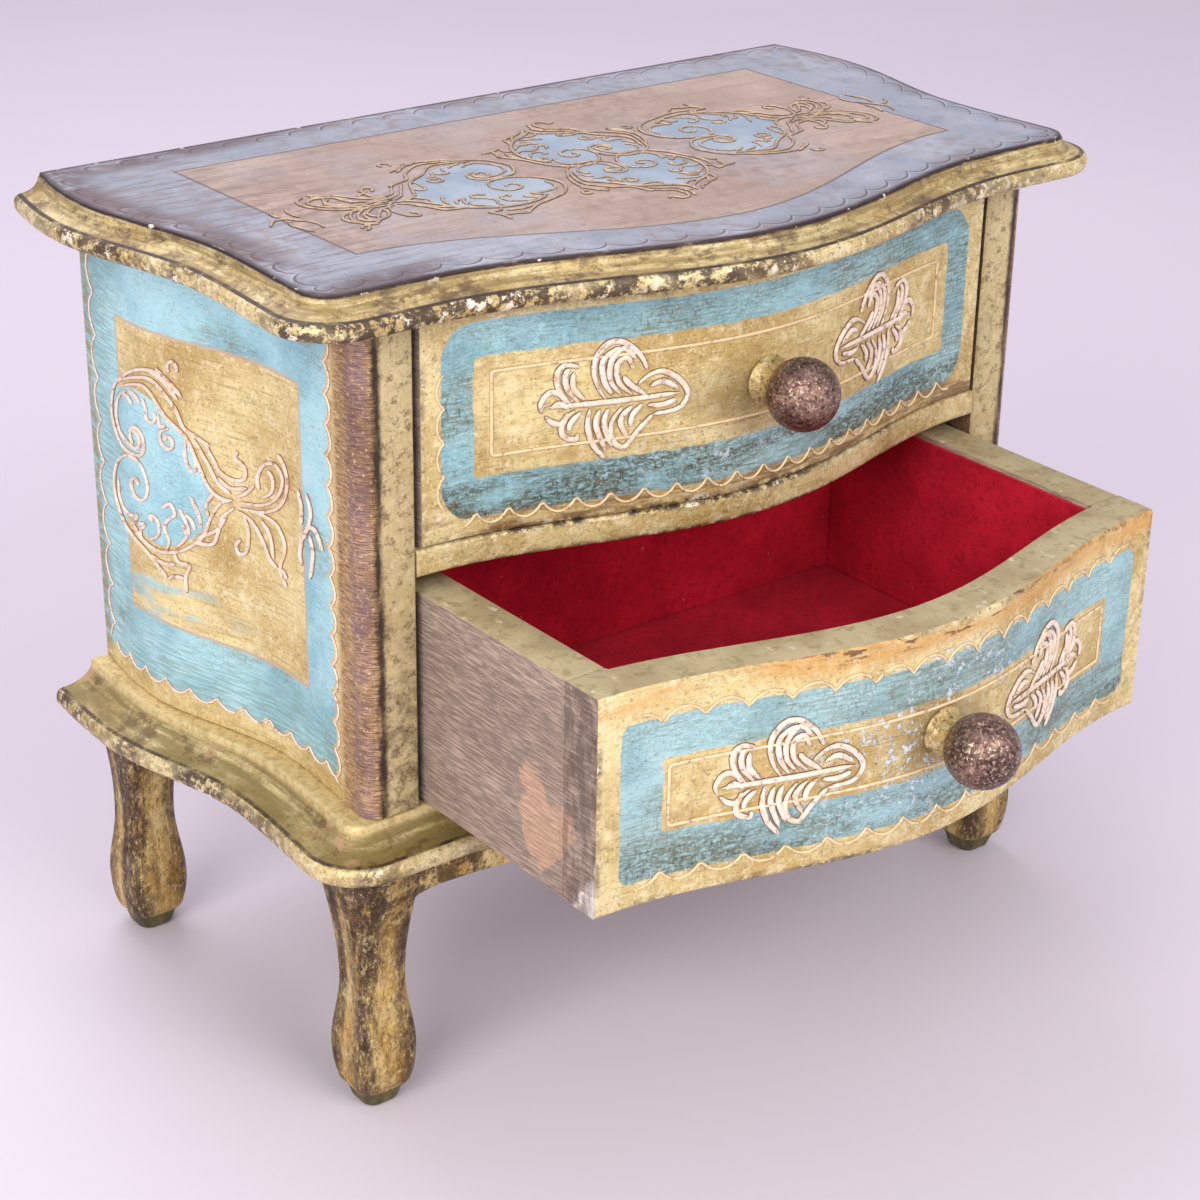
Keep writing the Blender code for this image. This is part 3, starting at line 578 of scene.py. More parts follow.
def base_finish():
    """Base board: gold lip with losses, dark seam, olive cove and pale bead."""
    f, _, band = banded("base_gilding", 0.3)
    gold = gilded(f, 0.5, 0.8, 0.42)
    lip = chipped(f, gold, band.under(1.05, 0.1), 0.75)
    cove = f.mix(f.noise(f.spread(0.04, 0.9), 0.30, 0.58, 5.0, shift=121.0) * 0.9, gold, shade("#857340"))
    cove = f.mix(f.noise(0.13, 0.53, 0.6, 7.0, 0.7, 122.0) * 0.6, cove, shade("#574426"))
    cove = f.mix(f.noise(0.06, 0.60, 0.64, 6.0, shift=123.0) * 0.75, cove, shade("#c39d78"))
    colour = f.mix(band.over(1.0, 0.08), lip, cove)
    seam = band.near(1.05, 0.09) * f.noise(0.12, 0.38, 0.56, 8.0, 0.78, 125.0)
    colour = f.mix(seam * 0.9, colour, shade("#3a281f"))
    bead = f.mix(f.noise(0.4, 0.42, 0.62, 6.0, 0.7, 127.0) * 0.5, shade("#ddc890"), shade("#8d7640"))
    colour = f.mix(band.over(1.85, 0.1), colour, bead)
    f.colour(colour)
    f.raise_by(f.noise(0.6, detail=7.0, shift=129.0), 0.35)
    return f.material


def leg_finish():
    """Legs and apron: heavily rubbed gold with painted glints, a painted dark reflection along the arrises,
    painted shade towards the top and a green-brown foot.
    """
    f, arris, _ = banded("leg_gilding", 0.65)
    colour = f.mix(0.6, gilded(f, 0.6, 0.35, 0.45), shade("#dcab4c"))
    # Painted glints: clouds of pale gold standing in for reflections on the gilding.
    painted_glints = f.noise((0.10, 0.10, 0.05), 0.46, 0.60, 10.0, 0.80, 132.0)
    colour = f.mix(painted_glints * 0.8, colour, shade("#f6e0a0"))
    patch = f.noise((0.10, 0.10, 0.05), 0.50, 0.56, 13.0, 0.86, 131.0)
    colour = f.mix(patch * (arris * 0.4 + 0.5), colour, shade("#583516"))
    # Painted dark reflection along the arrises, with a plum tint laid in it.
    arris_dark_reflection = arris.over(0.35, 0.45) * f.noise((0.08, 0.08, 0.02), 0.42, 0.54, 13.0, 0.86, 136.0)
    colour = f.mix(arris_dark_reflection * 0.9, colour, shade("#33201a"))
    colour = f.mix(arris_dark_reflection * f.noise(0.3, 0.5, 0.6, 8.0, 0.8, 139.0) * 0.7, colour, shade("#6a4d5c"))
    colour = f.mix(f.noise((0.8, 0.8, 0.4), 0.53, 0.58, 9.0, 0.84, 142.0) * 0.5, colour, shade("#fdeab0"))
    colour = f.mix(f.noise((0.7, 0.7, 0.35), 0.53, 0.58, 9.0, 0.84, 144.0) * 0.6, colour, shade("#4a2c14"))
    shaded = f.z.over(50.0, 12.0) * f.noise(0.14, 0.46, 0.53, 10.0, 0.78, 134.0)
    colour = f.mix(shaded * 0.8, colour, shade("#3a2719"))
    colour = f.mix(f.noise(0.16, 0.64, 0.66, 7.0, 0.7, 138.0), colour, shade("#e5c9a8"))
    colour = f.mix(f.z.under(5.0, 0.6) * 0.8, colour, shade("#565638"))
    f.colour(colour)
    f.raise_by(f.noise(0.7, 0.3, 0.8, 7.0, 0.66, shift=135.0), 0.4)
    return f.material


def rail_finish():
    """Rail between the drawers: clear gold with chipped edges."""
    f = gold_finish("rail_gilding", metallic=0.25)
    colour = gilded(f, 0.3, 0.9, 0.3)
    low, high = (corner.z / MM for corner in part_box("drawer_rail"))
    edge = f.z.under(low + 1.0, 0.7).most(f.z.over(high - 0.9, 0.6))
    f.colour(chipped(f, colour, edge, 0.6))
    f.raise_by(f.noise(0.6, detail=6.0, shift=137.0), 0.3)
    return f.material


def relief_finish(name, top, low, dark_share=0.36):
    """Raised work: pale on its crown, brown along its foot. Its map gives the height."""
    f, _, height = banded(name, 0.0)
    crown = f.mix(f.noise(0.3, 0.42, 0.62, 6.0, shift=141.0) * 0.55, tuple(top), shade("#d8bd96"))
    crown = f.mix(f.noise(0.6, 0.53, 0.60, 8.0, 0.76, 143.0) * 0.75, crown, shade("#8a6248"))
    edge = height + (f.noise(0.7, shift=145.0) - 0.5) * 0.5
    f.colour(f.mix(edge.under(dark_share, 0.16), crown, low))
    f.raise_by(f.noise(1.2, shift=147.0), 0.12)
    return f.material


def wood_finish(name, light, dark, grain, patched=False):
    """Unpainted wood with fine grain along one axis, and a rubbed patch low at the lower front."""
    f = Finish(name, roughness=0.72)
    broad = f.noise(tuple(g * 0.12 for g in grain), 0.35, 0.65, 5.0, 0.6, 151.0)
    colour = f.mix(broad * 0.7, light, dark)
    line = f.noise(tuple(g * 2.2 for g in grain), 0.46, 0.60, 9.0, 0.80, 153.0)
    colour = f.mix(line * 0.6, colour, tuple(c * 0.45 for c in dark[:3]) + (1.0,))
    pores = f.noise(tuple(g * 4.0 for g in grain), 0.58, 0.68, 5.0, 0.66, 155.0)
    colour = f.mix(pores * 0.7, colour, shade("#d6c7b8"))
    if patched:
        ahead = BACK - f.y
        front = CASE_DEPTH + PULLED_OUT["lower"]
        cloud = (f.noise(0.07, detail=6.0, shift=157.0) - 0.5) * 34.0
        near = abs(ahead - (front - 20.0)) + abs(f.z - 96.0) * 0.75 + cloud
        colour = f.mix(near.under(11.0, 1.2) * 0.75, colour, shade("#d3ab8c"))
        corner = (front - ahead) * 0.8 + (f.z - 79.6) * 0.55 + cloud * 0.7
        colour = f.mix(corner.under(7.5, 0.8), colour, shade("#e9e2d8"))
        grime = ahead.over(front - 12.0, 3.0) * f.noise((0.3, 0.3, 0.08), 0.42, 0.56, 7.0, 0.7, 158.0)
        colour = f.mix(grime * 0.6, colour, shade("#5d4a40"))
        fleck = f.noise(0.5, 0.66, 0.70, 5.0, 0.66, 159.0)
        colour = f.mix(fleck * ahead.over(front - 16.0, 4.0) * 0.8, colour, shade("#d9cfc2"))
    f.colour(colour)
    f.raise_by(line + pores, 0.12)
    return f.material


def rim_finish(name):
    """Top edges of the drawers: khaki paint worn to wood, with pale chips."""
    f = Finish(name, roughness=0.6)
    colour = f.mix(f.noise(0.06, 0.4, 0.62, shift=161.0), shade("#b5a883"), shade("#a3936f"))
    colour = f.mix(f.noise(0.3, 0.50, 0.62, 7.0, 0.7, 163.0) * 0.6, colour, shade("#857651"))
    colour = f.mix(f.noise(0.9, 0.58, 0.66, 6.0, 0.7, 164.0) * 0.6, colour, shade("#665a44"))
    colour = f.mix(f.noise(0.2, 0.60, 0.66, 6.0, 0.66, 165.0) * 0.7, colour, shade("#d8cfb6"))
    f.colour(colour)
    f.raise_by(f.noise(0.6, detail=6.0, shift=167.0), 0.25)
    return f.material


def felt_finish():
    """Dense red felt: short matted fibres, a soft sheen and specks of dust."""
    f = Finish("red_felt", roughness=0.95)
    red = tuple(bpy.context.scene.chest_colours.felt)
    colour = f.mix(f.noise(0.05, 0.35, 0.65, shift=171.0), red, shade("#b50f2a"))
    colour = f.mix(f.noise(0.5, 0.45, 0.70, 7.0, 0.7, 173.0) * 0.6, colour, shade("#7d0a1b"))
    colour = f.mix(f.noise(1.8, 0.56, 0.70, 5.0, shift=175.0) * 0.5, colour, shade("#e0354d"))
    lint = f.noise(0.3, 0.70, 0.72, 4.0, 0.6, 177.0)
    f.colour(f.mix(lint * 0.8, colour, shade("#b7919c")))
    f.raise_by(f.noise(1.3, detail=7.0, roughness=0.74, shift=179.0), 0.6)
    f.shader.inputs["Sheen Weight"].default_value = 0.25
    f.shader.inputs["Sheen Roughness"].default_value = 0.4
    f.shader.inputs["Sheen Tint"].default_value = shade("#ff6a78")
    f.shader.inputs["Specular IOR Level"].default_value = 0.15
    return f.material


def bronze_finish():
    """Knob: dark bronze paint rubbed bright in specks."""
    f = Finish("bronze_paint", roughness=0.34, metallic=0.85)
    colour = f.mix(f.noise(0.12, 0.35, 0.62, shift=181.0), shade("#94746a"), shade("#54403a"))
    colour = f.mix(f.noise(0.5, 0.50, 0.62, 8.0, 0.74, 183.0) * 0.6, colour, shade("#bb9c84"))
    colour = f.mix(f.noise(1.2, 0.53, 0.59, 8.0, 0.82, 185.0) * 0.8, colour, shade("#ecd9c6"))
    colour = f.mix(f.noise(0.8, 0.51, 0.58, 9.0, 0.82, 187.0) * 0.85, colour, shade("#2c1a14"))
    f.colour(colour)
    f.rough(0.24 + f.noise(0.9, shift=189.0) * 0.34)
    f.raise_by(f.noise(0.9, detail=7.0, shift=191.0), 0.3)
    return f.material


# --- lines in plan -------------------------------------------------------------------------------


def swell_at(distance, back_taper):
    """Share of the swell at this distance from the back: 1 where it is broadest, 0 at the waist."""
    if distance < BROADEST:
        return 1 - back_taper * (1 - math.cos((BROADEST - distance) / BROADEST * math.pi / 2))
    turn = (distance - BROADEST) / (2 * BROADEST)
    if turn < 1:
        return (1 + math.cos(turn * math.pi)) / 2
    return 0.3 * (1 - math.cos((turn - 1) * math.pi)) / 2


def bow_at(x, bow=FRONT_BOW):
    """How far a front stands out at this place across it: all of the bow in the middle."""
    return 0.0 if abs(x) >= HALF_OPENING else bow * (1 + math.cos(math.pi * x / HALF_OPENING)) / 2


def bowed(half, depth, bow=FRONT_BOW, steps=90):
    """Bowed line from the right end to the left one, as (x, distance ahead of the back)."""
    places = [half * (1 - 2 * step / steps) for step in range(steps + 1)]
    return [(x, depth + bow_at(x, bow)) for x in places]


def side_line(waist, swell, back_taper, depth, radius, start=0.0, steps=44, corner_steps=10):
    """Right side from the back edge round the front corner, as (x, distance ahead of the back)."""
    corner = depth - radius
    points = []
    for step in range(steps):
        distance = start + (corner - start) * step / steps
        points.append((waist + swell * swell_at(distance, back_taper), distance))
    x = waist + swell * swell_at(corner, back_taper) - radius
    for step in range(corner_steps + 1):
        angle = step / corner_steps * math.pi / 2
        points.append((x + radius * math.cos(angle), corner + radius * math.sin(angle)))
    return points


def board_line(waist, swell, back_taper, depth, bow, radius, start=0.0):
    """Whole outline of the top or base, from the right back corner round to the left one and back."""
    right = side_line(waist, swell, back_taper, depth, radius, start)
    left = [(-x, y) for x, y in reversed(right)]
    edge = right[0][0]
    back = [(-edge + 2 * edge * step / 40, start) for step in range(1, 40)]
    return right + bowed(HALF_OPENING, depth, bow) + left + back


def lengths(line):
    """Distance along a line to each of its points."""
    total, out = 0.0, [0.0]
    for (ax, ay), (bx, by) in zip(line, line[1:]):
        total += math.hypot(bx - ax, by - ay)
        out.append(total)
    return out


SIDE_OUTLINE = side_line(CASE_WAIST, SIDE_SWELL, SIDE_TAPER, CASE_DEPTH, 5.0, steps=60)
CORNER_END = lengths(SIDE_OUTLINE)[-1]


# --- meshes --------------------------------------------------------------------------------------


def at(x, distance, z):
    """World place of a point given in millimetres, with distance measured ahead of the back."""
    return Vector((x, BACK - distance, z)) * MM


def lofted(rings, along=None, bands=None):
    """Closed mesh from rings of equally many points, extruded ring by ring.

    along (per point) and bands (per ring) become the map "lay" of the wall between the rings.
    """
    mesh = bmesh.new()
    lay = mesh.loops.layers.uv.new("lay")
    first = face = mesh.faces.new([mesh.verts.new(point) for point in rings[0]])
    count = len(rings[0])
    place = {vertex: (0, index) for index, vertex in enumerate(face.verts)}
    for number, ring in enumerate(rings[1:], 1):
        made = bmesh.ops.extrude_face_region(mesh, geom=[face])["geom"]
        if face != first:
            mesh.faces.remove(face)
        face = next(item for item in made if isinstance(item, bmesh.types.BMFace))
        for index, (vertex, point) in enumerate(zip(face.verts, ring)):
            vertex.co = point
            place[vertex] = (number, index)
    if along:
        closing = along[-1] + (rings[0][0] - rings[0][-1]).length / MM
        for wall in mesh.faces:
            wraps = {place[corner.vert][1] for corner in wall.loops} == {0, count - 1}
            for corner in wall.loops:
                ring, index = place[corner.vert]
                u = closing if wraps and index == 0 else along[index]
                corner[lay].uv = (u * MM, bands[ring] * MM)
    bmesh.ops.recalc_face_normals(mesh, faces=mesh.faces)
    return mesh


def add_piece(name, mesh, finishes, body, nodes=(), angle=32.0):
    """Object made from a mesh in place, riding on a body and standing for CAD nodes."""
    data = bpy.data.meshes.new(name)
    mesh.to_mesh(data)
    mesh.free()
    data.shade_smooth()
    data.set_sharp_from_angle(angle=math.radians(angle))
    for finish in finishes:
        data.materials.append(finish)
    made = bpy.data.objects.new(name, data)
    bpy.context.scene.collection.objects.link(made)
    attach(made, body)
    if nodes:
        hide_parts(*nodes)
    return made


def pick(mesh, index, test):
    """Gives the faces that pass the test this material index."""
    for face in mesh.faces:
        if test(face):
            face.material_index = index


def softened(node, width=0.35, segments=2):
    """The node's solid with its loose triangles joined and its edges rounded."""
    mesh = bmesh.new()
    mesh.from_mesh(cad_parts[node].data)
    bmesh.ops.remove_doubles(mesh, verts=mesh.verts, dist=0.002 * MM)
    bmesh.ops.dissolve_limit(mesh, angle_limit=math.radians(1.0), verts=mesh.verts, edges=mesh.edges)
    sharp = [e for e in mesh.edges if e.is_manifold and e.calc_face_angle() > math.radians(50)]
    bmesh.ops.bevel(
        mesh, geom=sharp, offset=width * MM, offset_type="OFFSET", affect="EDGES",
        segments=segments, profile=0.5, clamp_overlap=True, material=-1,
    )
    return mesh


def half_round(offset, low, thick, depth, steps=10):
    """Stations of a rounded lip, from its underside to its top, standing out by depth."""
    points = []
    for step in range(steps + 1):
        angle = math.pi * (step / steps - 0.5)
        points.append((offset - depth + depth * math.cos(angle), low + thick * (1 + math.sin(angle)) / 2))
    return points


def hollow(start, end, steps=12):
    """Stations of a cove from start up to end."""
    points = []
    for step in range(steps + 1):
        angle = step / steps * math.pi / 2
        offset = start[0] + (end[0] - start[0]) * math.sin(angle)
        points.append((offset, end[1] + (start[1] - end[1]) * math.cos(angle)))
    return points


def eased(stations, height):
    """(set back, height) stations of an eased lower edge, then the same up to the top edge."""
    return [*stations, *((back, height - up) for back, up in reversed(stations))]


def board(profile, bands, insets, waist, swell, back_taper, depth, bow, radius, level):
    """Moulded board from (offset, height) stations, then rings drawn in over its flat top."""
    rings, marks = [], list(bands)
    for offset, height in profile:
        line = board_line(waist + offset, swell, back_taper, depth + offset, bow, radius + offset)
        rings.append([at(x, y, height) for x, y in line])
    for inset in insets:
        line = board_line(
            waist - inset, swell, back_taper, depth - inset, bow, max(radius - inset, 0.8), inset
        )
        rings.append([at(x, y, level) for x, y in line])
        marks.append(3.0 + inset / 10.0)
    outline = board_line(waist, swell, back_taper, depth, bow, radius)
    return lofted(rings, lengths(outline), marks)


def evenly(count, low, high):
    """This many numbers from low to high."""
    return [low + (high - low) * step / (count - 1) for step in range(count)]


# --- raised work ---------------------------------------------------------------------------------


def between(a, b, c, d, t):
    """Place at t on the smooth curve from b to c, with a before them and d after."""
    bend = 2 * a - 5 * b + 4 * c - d
    twist = 3 * b - a - 3 * c + d
    return 0.5 * (2 * b + (c - a) * t + bend * t**2 + twist * t**3)


def through(points, steps=5):
    """Smooth line through the points."""
    ends = [points[0], *points, points[-1]]
    line = []
    for p0, p1, p2, p3 in zip(ends, ends[1:], ends[2:], ends[3:]):
        for step in range(steps):
            line.append(tuple(between(*values, step / steps) for values in zip(p0, p1, p2, p3)))
    line.append(tuple(points[-1]))
    return line


# Half section of a ridge: (across, height), where a height below nothing is sunk in the face.
SLOPE = ((-1, -0.35), (-1, 0.10), (-0.74, 0.50), (-0.4, 0.88), (0, 1))
SECTION = (*SLOPE, *((-across, height) for across, height in SLOPE[-2::-1]), SLOPE[0])
SUNK = -0.25
THICKEST = 0.45  # share of a stroke's length at which it is thickest


def stroke_width(share, start, middle, end):
    """Width of a stroke at this share of its length."""
    if share < THICKEST:
        return start + (middle - start) * math.sin(share / THICKEST * math.pi / 2)
    return end + (middle - end) * math.cos((share - THICKEST) / (1 - THICKEST) * math.pi / 2)


def lay_of(mesh):
    """The map "lay" of a mesh, made if it has none."""
    return mesh.loops.layers.uv.get("lay") or mesh.loops.layers.uv.new("lay")


def faces_of(made):
    """Faces round the points that an operator made."""
    return {face for vertex in made["verts"] for face in vertex.link_faces}


def add_ridge(mesh, line, widths, place, rise, closed=False):
    """Rounded ridge along a line of a face. place(a, b, height) gives a point over the face."""
    lay = lay_of(mesh)
    last = len(line) - 1
    made = bmesh.ops.create_grid(mesh, x_segments=last, y_segments=len(SECTION) - 1, size=1.0)
    ends = (line[-2], line[1]) if closed else (line[0], line[-1])
    beside = [ends[0], *line, ends[1]]
    frames = []
    for index, (before, here, after) in enumerate(zip(beside, line, beside[2:])):
        dx, dy = after[0] - before[0], after[1] - before[1]
        size = math.hypot(dx, dy) or 1.0
        width = stroke_width(index / last, *widths)
        if not closed and index in (0, last):
            width *= 0.3
        frames.append((here, (-dy / size, dx / size), width))
    heights = {}
    for vertex in made["verts"]:
        (a, b), (na, nb), width = frames[round((vertex.co.x + 1) / 2 * last)]
        across, up = SECTION[round((vertex.co.y + 1) / 2 * (len(SECTION) - 1))]
        top = min(1.0, width / max(widths[1], 0.01)) ** 0.5
        heights[vertex] = max(up, 0.0) * top
        half = across * width / 2
        vertex.co = place(a + na * half, b + nb * half, up * rise * top if up > 0 else SUNK)
    for face in faces_of(made):
        for corner in face.loops:
            corner[lay].uv = (0.0, heights[corner.vert] * MM)
    bmesh.ops.remove_doubles(mesh, verts=made["verts"], dist=0.004 * MM)


def add_cord(mesh, line, width, place):
    """Low ridge of one width along a line."""
    add_ridge(mesh, line, (width,) * 3, place, width * 0.55)


def finish_ridges(mesh):
    """Caps the open ends of the ridges and turns every face outwards."""
    bmesh.ops.holes_fill(mesh, edges=mesh.edges, sides=0)
    bmesh.ops.recalc_face_normals(mesh, faces=mesh.faces)
    return mesh


def add_strokes(mesh, strokes, place, rise, width, scale=1.0, steps=4, taper=(0.7, 1.0, 1.1)):
    """Ridges along smooth lines through these points. taper is their width at start, middle and end."""
    for points in strokes:
        line = [(a * scale, b * scale) for a, b in through(points, steps)]
        add_ridge(mesh, line, [width * share for share in taper], place, rise)


def add_inlay(mesh, outline, place, rise):
    """Low filled shape inside a closed outline, following the face."""
    lay = lay_of(mesh)
    line = through([*outline, outline[0]], 4)
    a0 = sum(p[0] for p in outline) / len(outline)
    b0 = sum(p[1] for p in outline) / len(outline)
    rings = (0.0, 0.3, 0.6, 0.85, 0.97, 1.0)
    made = bmesh.ops.create_grid(mesh, x_segments=len(line) - 1, y_segments=len(rings) - 1, size=1.0)
    for vertex in made["verts"]:
        a, b = line[round((vertex.co.x + 1) / 2 * (len(line) - 1))]
        share = rings[round((vertex.co.y + 1) / 2 * (len(rings) - 1))]
        up = -0.2 if share == 1.0 else rise
        vertex.co = place(a0 + (a - a0) * share, b0 + (b - b0) * share, up)
    for face in faces_of(made):
        for corner in face.loops:
            corner[lay].uv = (0.0, MM)
    bmesh.ops.remove_doubles(mesh, verts=made["verts"], dist=0.004 * MM)


def turn_towards(mesh, direction):
    """Turns every face of an open, nearly flat shape to this side."""
    bmesh.ops.recalc_face_normals(mesh, faces=mesh.faces)
    for face in mesh.faces:
        if face.normal.dot(direction) < 0:
            face.normal_flip()


def curl(centre, wide, tight, begin, turn):
    """Points of a spiral round a centre, from one radius to another; angles in degrees."""
    count = max(3, round(abs(turn) / 40))
    line = []
    for step in range(count + 1):
        share = step / count
        radius = wide * (tight / wide) ** share
        angle = math.radians(begin + turn * share)
        line.append((centre[0] + radius * math.cos(angle), centre[1] + radius * math.sin(angle)))
    return line


# Lines of the raised scrolls in millimetres: (ahead of the notch of the heart, above its axis).
HEART = [
    # rims and volutes of the two lobes
    [(2.5, 21.5), (-2.5, 17.5), (-5, 10), (-2.5, 4.5), (1, 2), *curl((7.5, 6.5), 4.8, 2.2, -105, 340)],
    [(4.5, 18.5), (0, 15.5), (-2, 11), (-1, 6.5), (2.5, 4.5), *curl((7, 6.5), 2.8, 1.9, -100, 210)],
    [(8, 1), (2.5, 0.5), (-4, -4), (-6.5, -11), (-4, -17), (1, -21), (10, -24), (15, -27), (17.5, -29)],
    [(3.5, 0.5), (8, 0.5), *curl((6.5, -6.5), 6.5, 1.2, 55, -400)],
    [(-3.5, -8), (-3.5, -12.5), (-1, -15.5), (3, -16), (6, -15), (4, -18)],
    # strands that run down to the point
    [(0.5, 19.5), (5.5, 23.5), (13, 26.5), (20, 26.5), (26, 22.5)],
    [(1.5, 20.5), (8, 23), (14, 24.5), (18, 23.5), (23.5, 19), (26, 14.5), (30, 13), (34, 11.5)],
    [(2, 19), (9, 21.5), (14, 21.5), (20, 16), (26.5, 12), (30, 6), (33, 0.5), (36.5, -1.5), (40, -1.5)],
    [(15, 26.5), (19.5, 25.5), (24.5, 21.5)],
    [(5.5, 19), (8.5, 18.5), (10.5, 17)],
    [(2, 17), (5, 17), (7, 15.5)],
    [(29, 12.5), (33, 7), (36, 2.5), (40, 0.5)],
    curl((23.5, 29.5), 2.0, 1.2, 230, -270),
    [(17.5, 28), (20, 26.5), (24, 23)],
    [(40.5, -1), (36.5, -3), (33, -8), (30, -14), (23, -19.5), (15, -22), (8, -21), (3, -18)],
    [(41, -3), (37, -6.5), (35, -12), (33, -15), (27, -16)],
    [(38.5, -5.5), (35, -10.5), (28.5, -14.5)],
    # tendrils inside the heart
    [(12, 18.5), (13, 16), (13, 13.5), (15, 13), (16.5, 14.5), (16, 16)],
    [(17.5, 16), (18, 13), (20, 13.5)],
    [(21, 13), *curl((20.5, 9.5), 3.0, 1.0, 140, 400)],
    [(26.5, 12), (26, 8), (27, 4), (29, 4), (29.5, 7.5)],
    [(32.5, -7.5), (32, -4.5), (34.5, -0.5)],
    [(30, -11.5), (29.5, -8), (27, -3.5)],
    [(28, -12.5), (27, -10), (25, -9)],
    [(26, -14.5), (25.5, -11.5), (23, -8)],
    [(21.5, -19), (25, -15), (24, -12)],
    [(17.5, -21), (19, -18), (17.5, -15), (19, -12), (21.5, -10), (20, -7.5), (17, -9.5)],
    [(11, -20), (15, -17.5), (15, -13.5), (12, -13), (13, -14.5)],
    [(7, -21), (7.5, -18.5), (9.5, -16.5), (6.5, -17)],
    # hooks outside the heart
    [(32.5, 12), (35, 8.5), (37, 5.5), (41.5, 4.5), (45, 6), (45, 9), (42, 10.5), (43, 12.5)],
    [(36, 4), (40, 2), (45.5, 3.5)],
    [(20.5, -21), (22, -23), (25.5, -23), (24, -26.5), (24, -31)],
    [(11.5, -24), (16, -25), (20.5, -24)],
    [(17.5, -29), (20, -27.5), (23.5, -27)],
]
SPRAY = [
    [(42.5, -1), (50.5, 0.5), (57, 4.5), (60, 10), (57, 13), (52, 11.5), (49.5, 7.5), (50, 4.5)],
    [(43, -2.5), (50, -1.5), (58, 2.5), (62, 9), (61, 14), (58, 16)],
    [(51, 2.5), (55, 5.5), (55.5, 9), (53.5, 10.5)],
    [(41.5, 0), (45, 2), (48, 5)],
    [(44, -4), (45.5, -8), (44.5, -13.5), (42, -15), (41, -13), (42.5, -11)],
    [(42, -3.5), (47, -5), (51, -9.5), (53, -13), (56, -14.5)],
    [(45.5, -2), (51, -2), (57, -3), (60, -7.5), (57.5, -13), (58, -16), (60, -18)],
    [(50, -3.5), (53.5, -6.5), (54.5, -12.5)],
    [(56, -14.5), (59, -14.5), (60, -16)],
]
FLEUR = [
    [(67, 10), (68.5, 6), (68, 1.5)],
    [(71, 10.5), (73, 5.5), (68.5, -2.5)],
    [(70.5, 1.5), (75, 2.5), (78.5, -1.5)],
    [(72, 0), (73.5, -4), (71.5, -11.5)],
    [(68.5, -2), (67, -6), (67.5, -9.5)],
]
# Lines of a palmette: (from its broad end towards the knob, above its axis).
PALMETTE = [
    [(3, 0), (18.5, -0.5), (36.5, -0.5)],
    # bud at the broad end
    [(2.5, -1.5), (2, 1), (4, 3.5), (6.5, 3), (8.5, 0.5)],
    [(3, -2), (5, -4), (7.5, -4.5), (8.5, -2)],
    [(4.5, -0.5), (6.5, 0.5), (9, -1)],
    # small leaves, then the great leaves
    [(9.5, 0), (6.5, 4), (6, 8), (8, 10), (11.5, 9)],
    [(11.5, 0), (8.5, 4), (8, 7.5), (9, 9)],
    [(13, 0.5), (10, 4), (10, 8)],
    [(10.5, -1.5), (7.5, -4), (7.5, -7.5), (10.5, -9), (11, -7.5)],
    [(12, -2), (9.5, -4.5), (9, -6.5)],
    [(18, 0), (15.5, 4.5), (15, 10), (18, 14), (22, 14), (26, 10.5), (28, 6.5)],
    [(20, 0.5), (17.5, 4.5), (17, 10), (21, 13)],
    [(22, 0.5), (19, 4.5), (19, 9.5), (22, 12.5), (25, 9.5)],
    [(24.5, 0.5), (21, 4), (20.5, 8.5), (23, 10), (24.5, 7)],
    [(28, 0), (24, 3), (22, 5.5)],
    [(14, -1.5), (13.5, -6), (15, -11), (18, -15)],
    [(16.5, -2), (15.5, -6), (18, -13)],
    [(18.5, -2), (17.5, -6), (19.5, -12)],
    [(22, -2), (19.5, -5.5), (19.5, -10), (22.5, -12.5), (26, -8.5), (29.5, -5)],
    [(24.5, -2), (21.5, -5.5), (23.5, -10.5)],
    [(27, -2), (24.5, -4.5), (24, -7.5)],
    # point towards the knob
    [(25.5, 3), (28.5, 5), (32, 5.5), (36, 3), (38.5, -1), (36, -4.5), (29.5, -5)],
    [(28.5, 2), (32, 3), (36, 0.5)],
    [(28, -2.5), (32, -3), (35.5, -2)],
]
HEART_FILL = [
    (6, 1.5), (0, 2.5), (-3, 6), (-4, 12), (-1, 17), (5, 20), (14, 19.5), (21, 15), (27, 11), (31, 5),
    (34, 0), (32, -10), (29, -13.5), (24, -17.5), (17, -20.5), (11, -20.5), (4, -18), (-1.5, -16.5),
    (-5, -12), (-4.5, -6), (-1, -1.5),
]


def side_place(sign):
    """Point over a side: a is the distance ahead of the back, b the height."""

    def stands_out(a):
        return SIDE_SWELL * swell_at(a, SIDE_TAPER)

    def place(a, b, up):
        slope = (stands_out(a + 0.05) - stands_out(a - 0.05)) / 0.1
        size = math.hypot(1.0, slope)
        return at(sign * (CASE_WAIST + stands_out(a) + up / size), a - slope * up / size, b)

    return place


def front_place(kind):
    """Point over a drawer's front: a runs from left to right, b up from the drawer's underside."""

    def place(a, b, up):
        slope = (bow_at(a + 0.05) - bow_at(a - 0.05)) / 0.1
        size = math.hypot(1.0, slope)
        ahead = CASE_DEPTH + PULLED_OUT[kind] + bow_at(a)
        return at(a - slope * up / size, ahead + up / size, FLOOR[kind] + b)

    return place


def top_place(origin, direction):
    """Point over the top: a runs from origin (x, distance ahead of the back) in this direction."""
    x0, y0 = origin
    dx, dy = direction

    def place(a, b, up):
        return at(x0 + a * dx - b * dy, y0 + a * dy + b * dx, TOP + up)

    return place


def shifted(face, a0, b0, turn=1):
    """Point over a face with its origin moved to (a0, b0), and a running backwards if turn is -1."""

    def place(a, b, up):
        return face(a0 + turn * a, b0 + b, up)

    return place


def scallop_line(start, end, fixed, pitch, bulge, upright=False):
    """Points of a row of arcs between two positions, bulging away from the fixed line."""
    count = int((end - start) / pitch * 12)
    line = []
    for step in range(count + 1):
        s = start + (end - start) * step / count
        off = fixed + bulge * abs(math.sin(math.pi * s / pitch)) ** ARC_POWER
        line.append((off, s) if upright else (s, off))
    return line


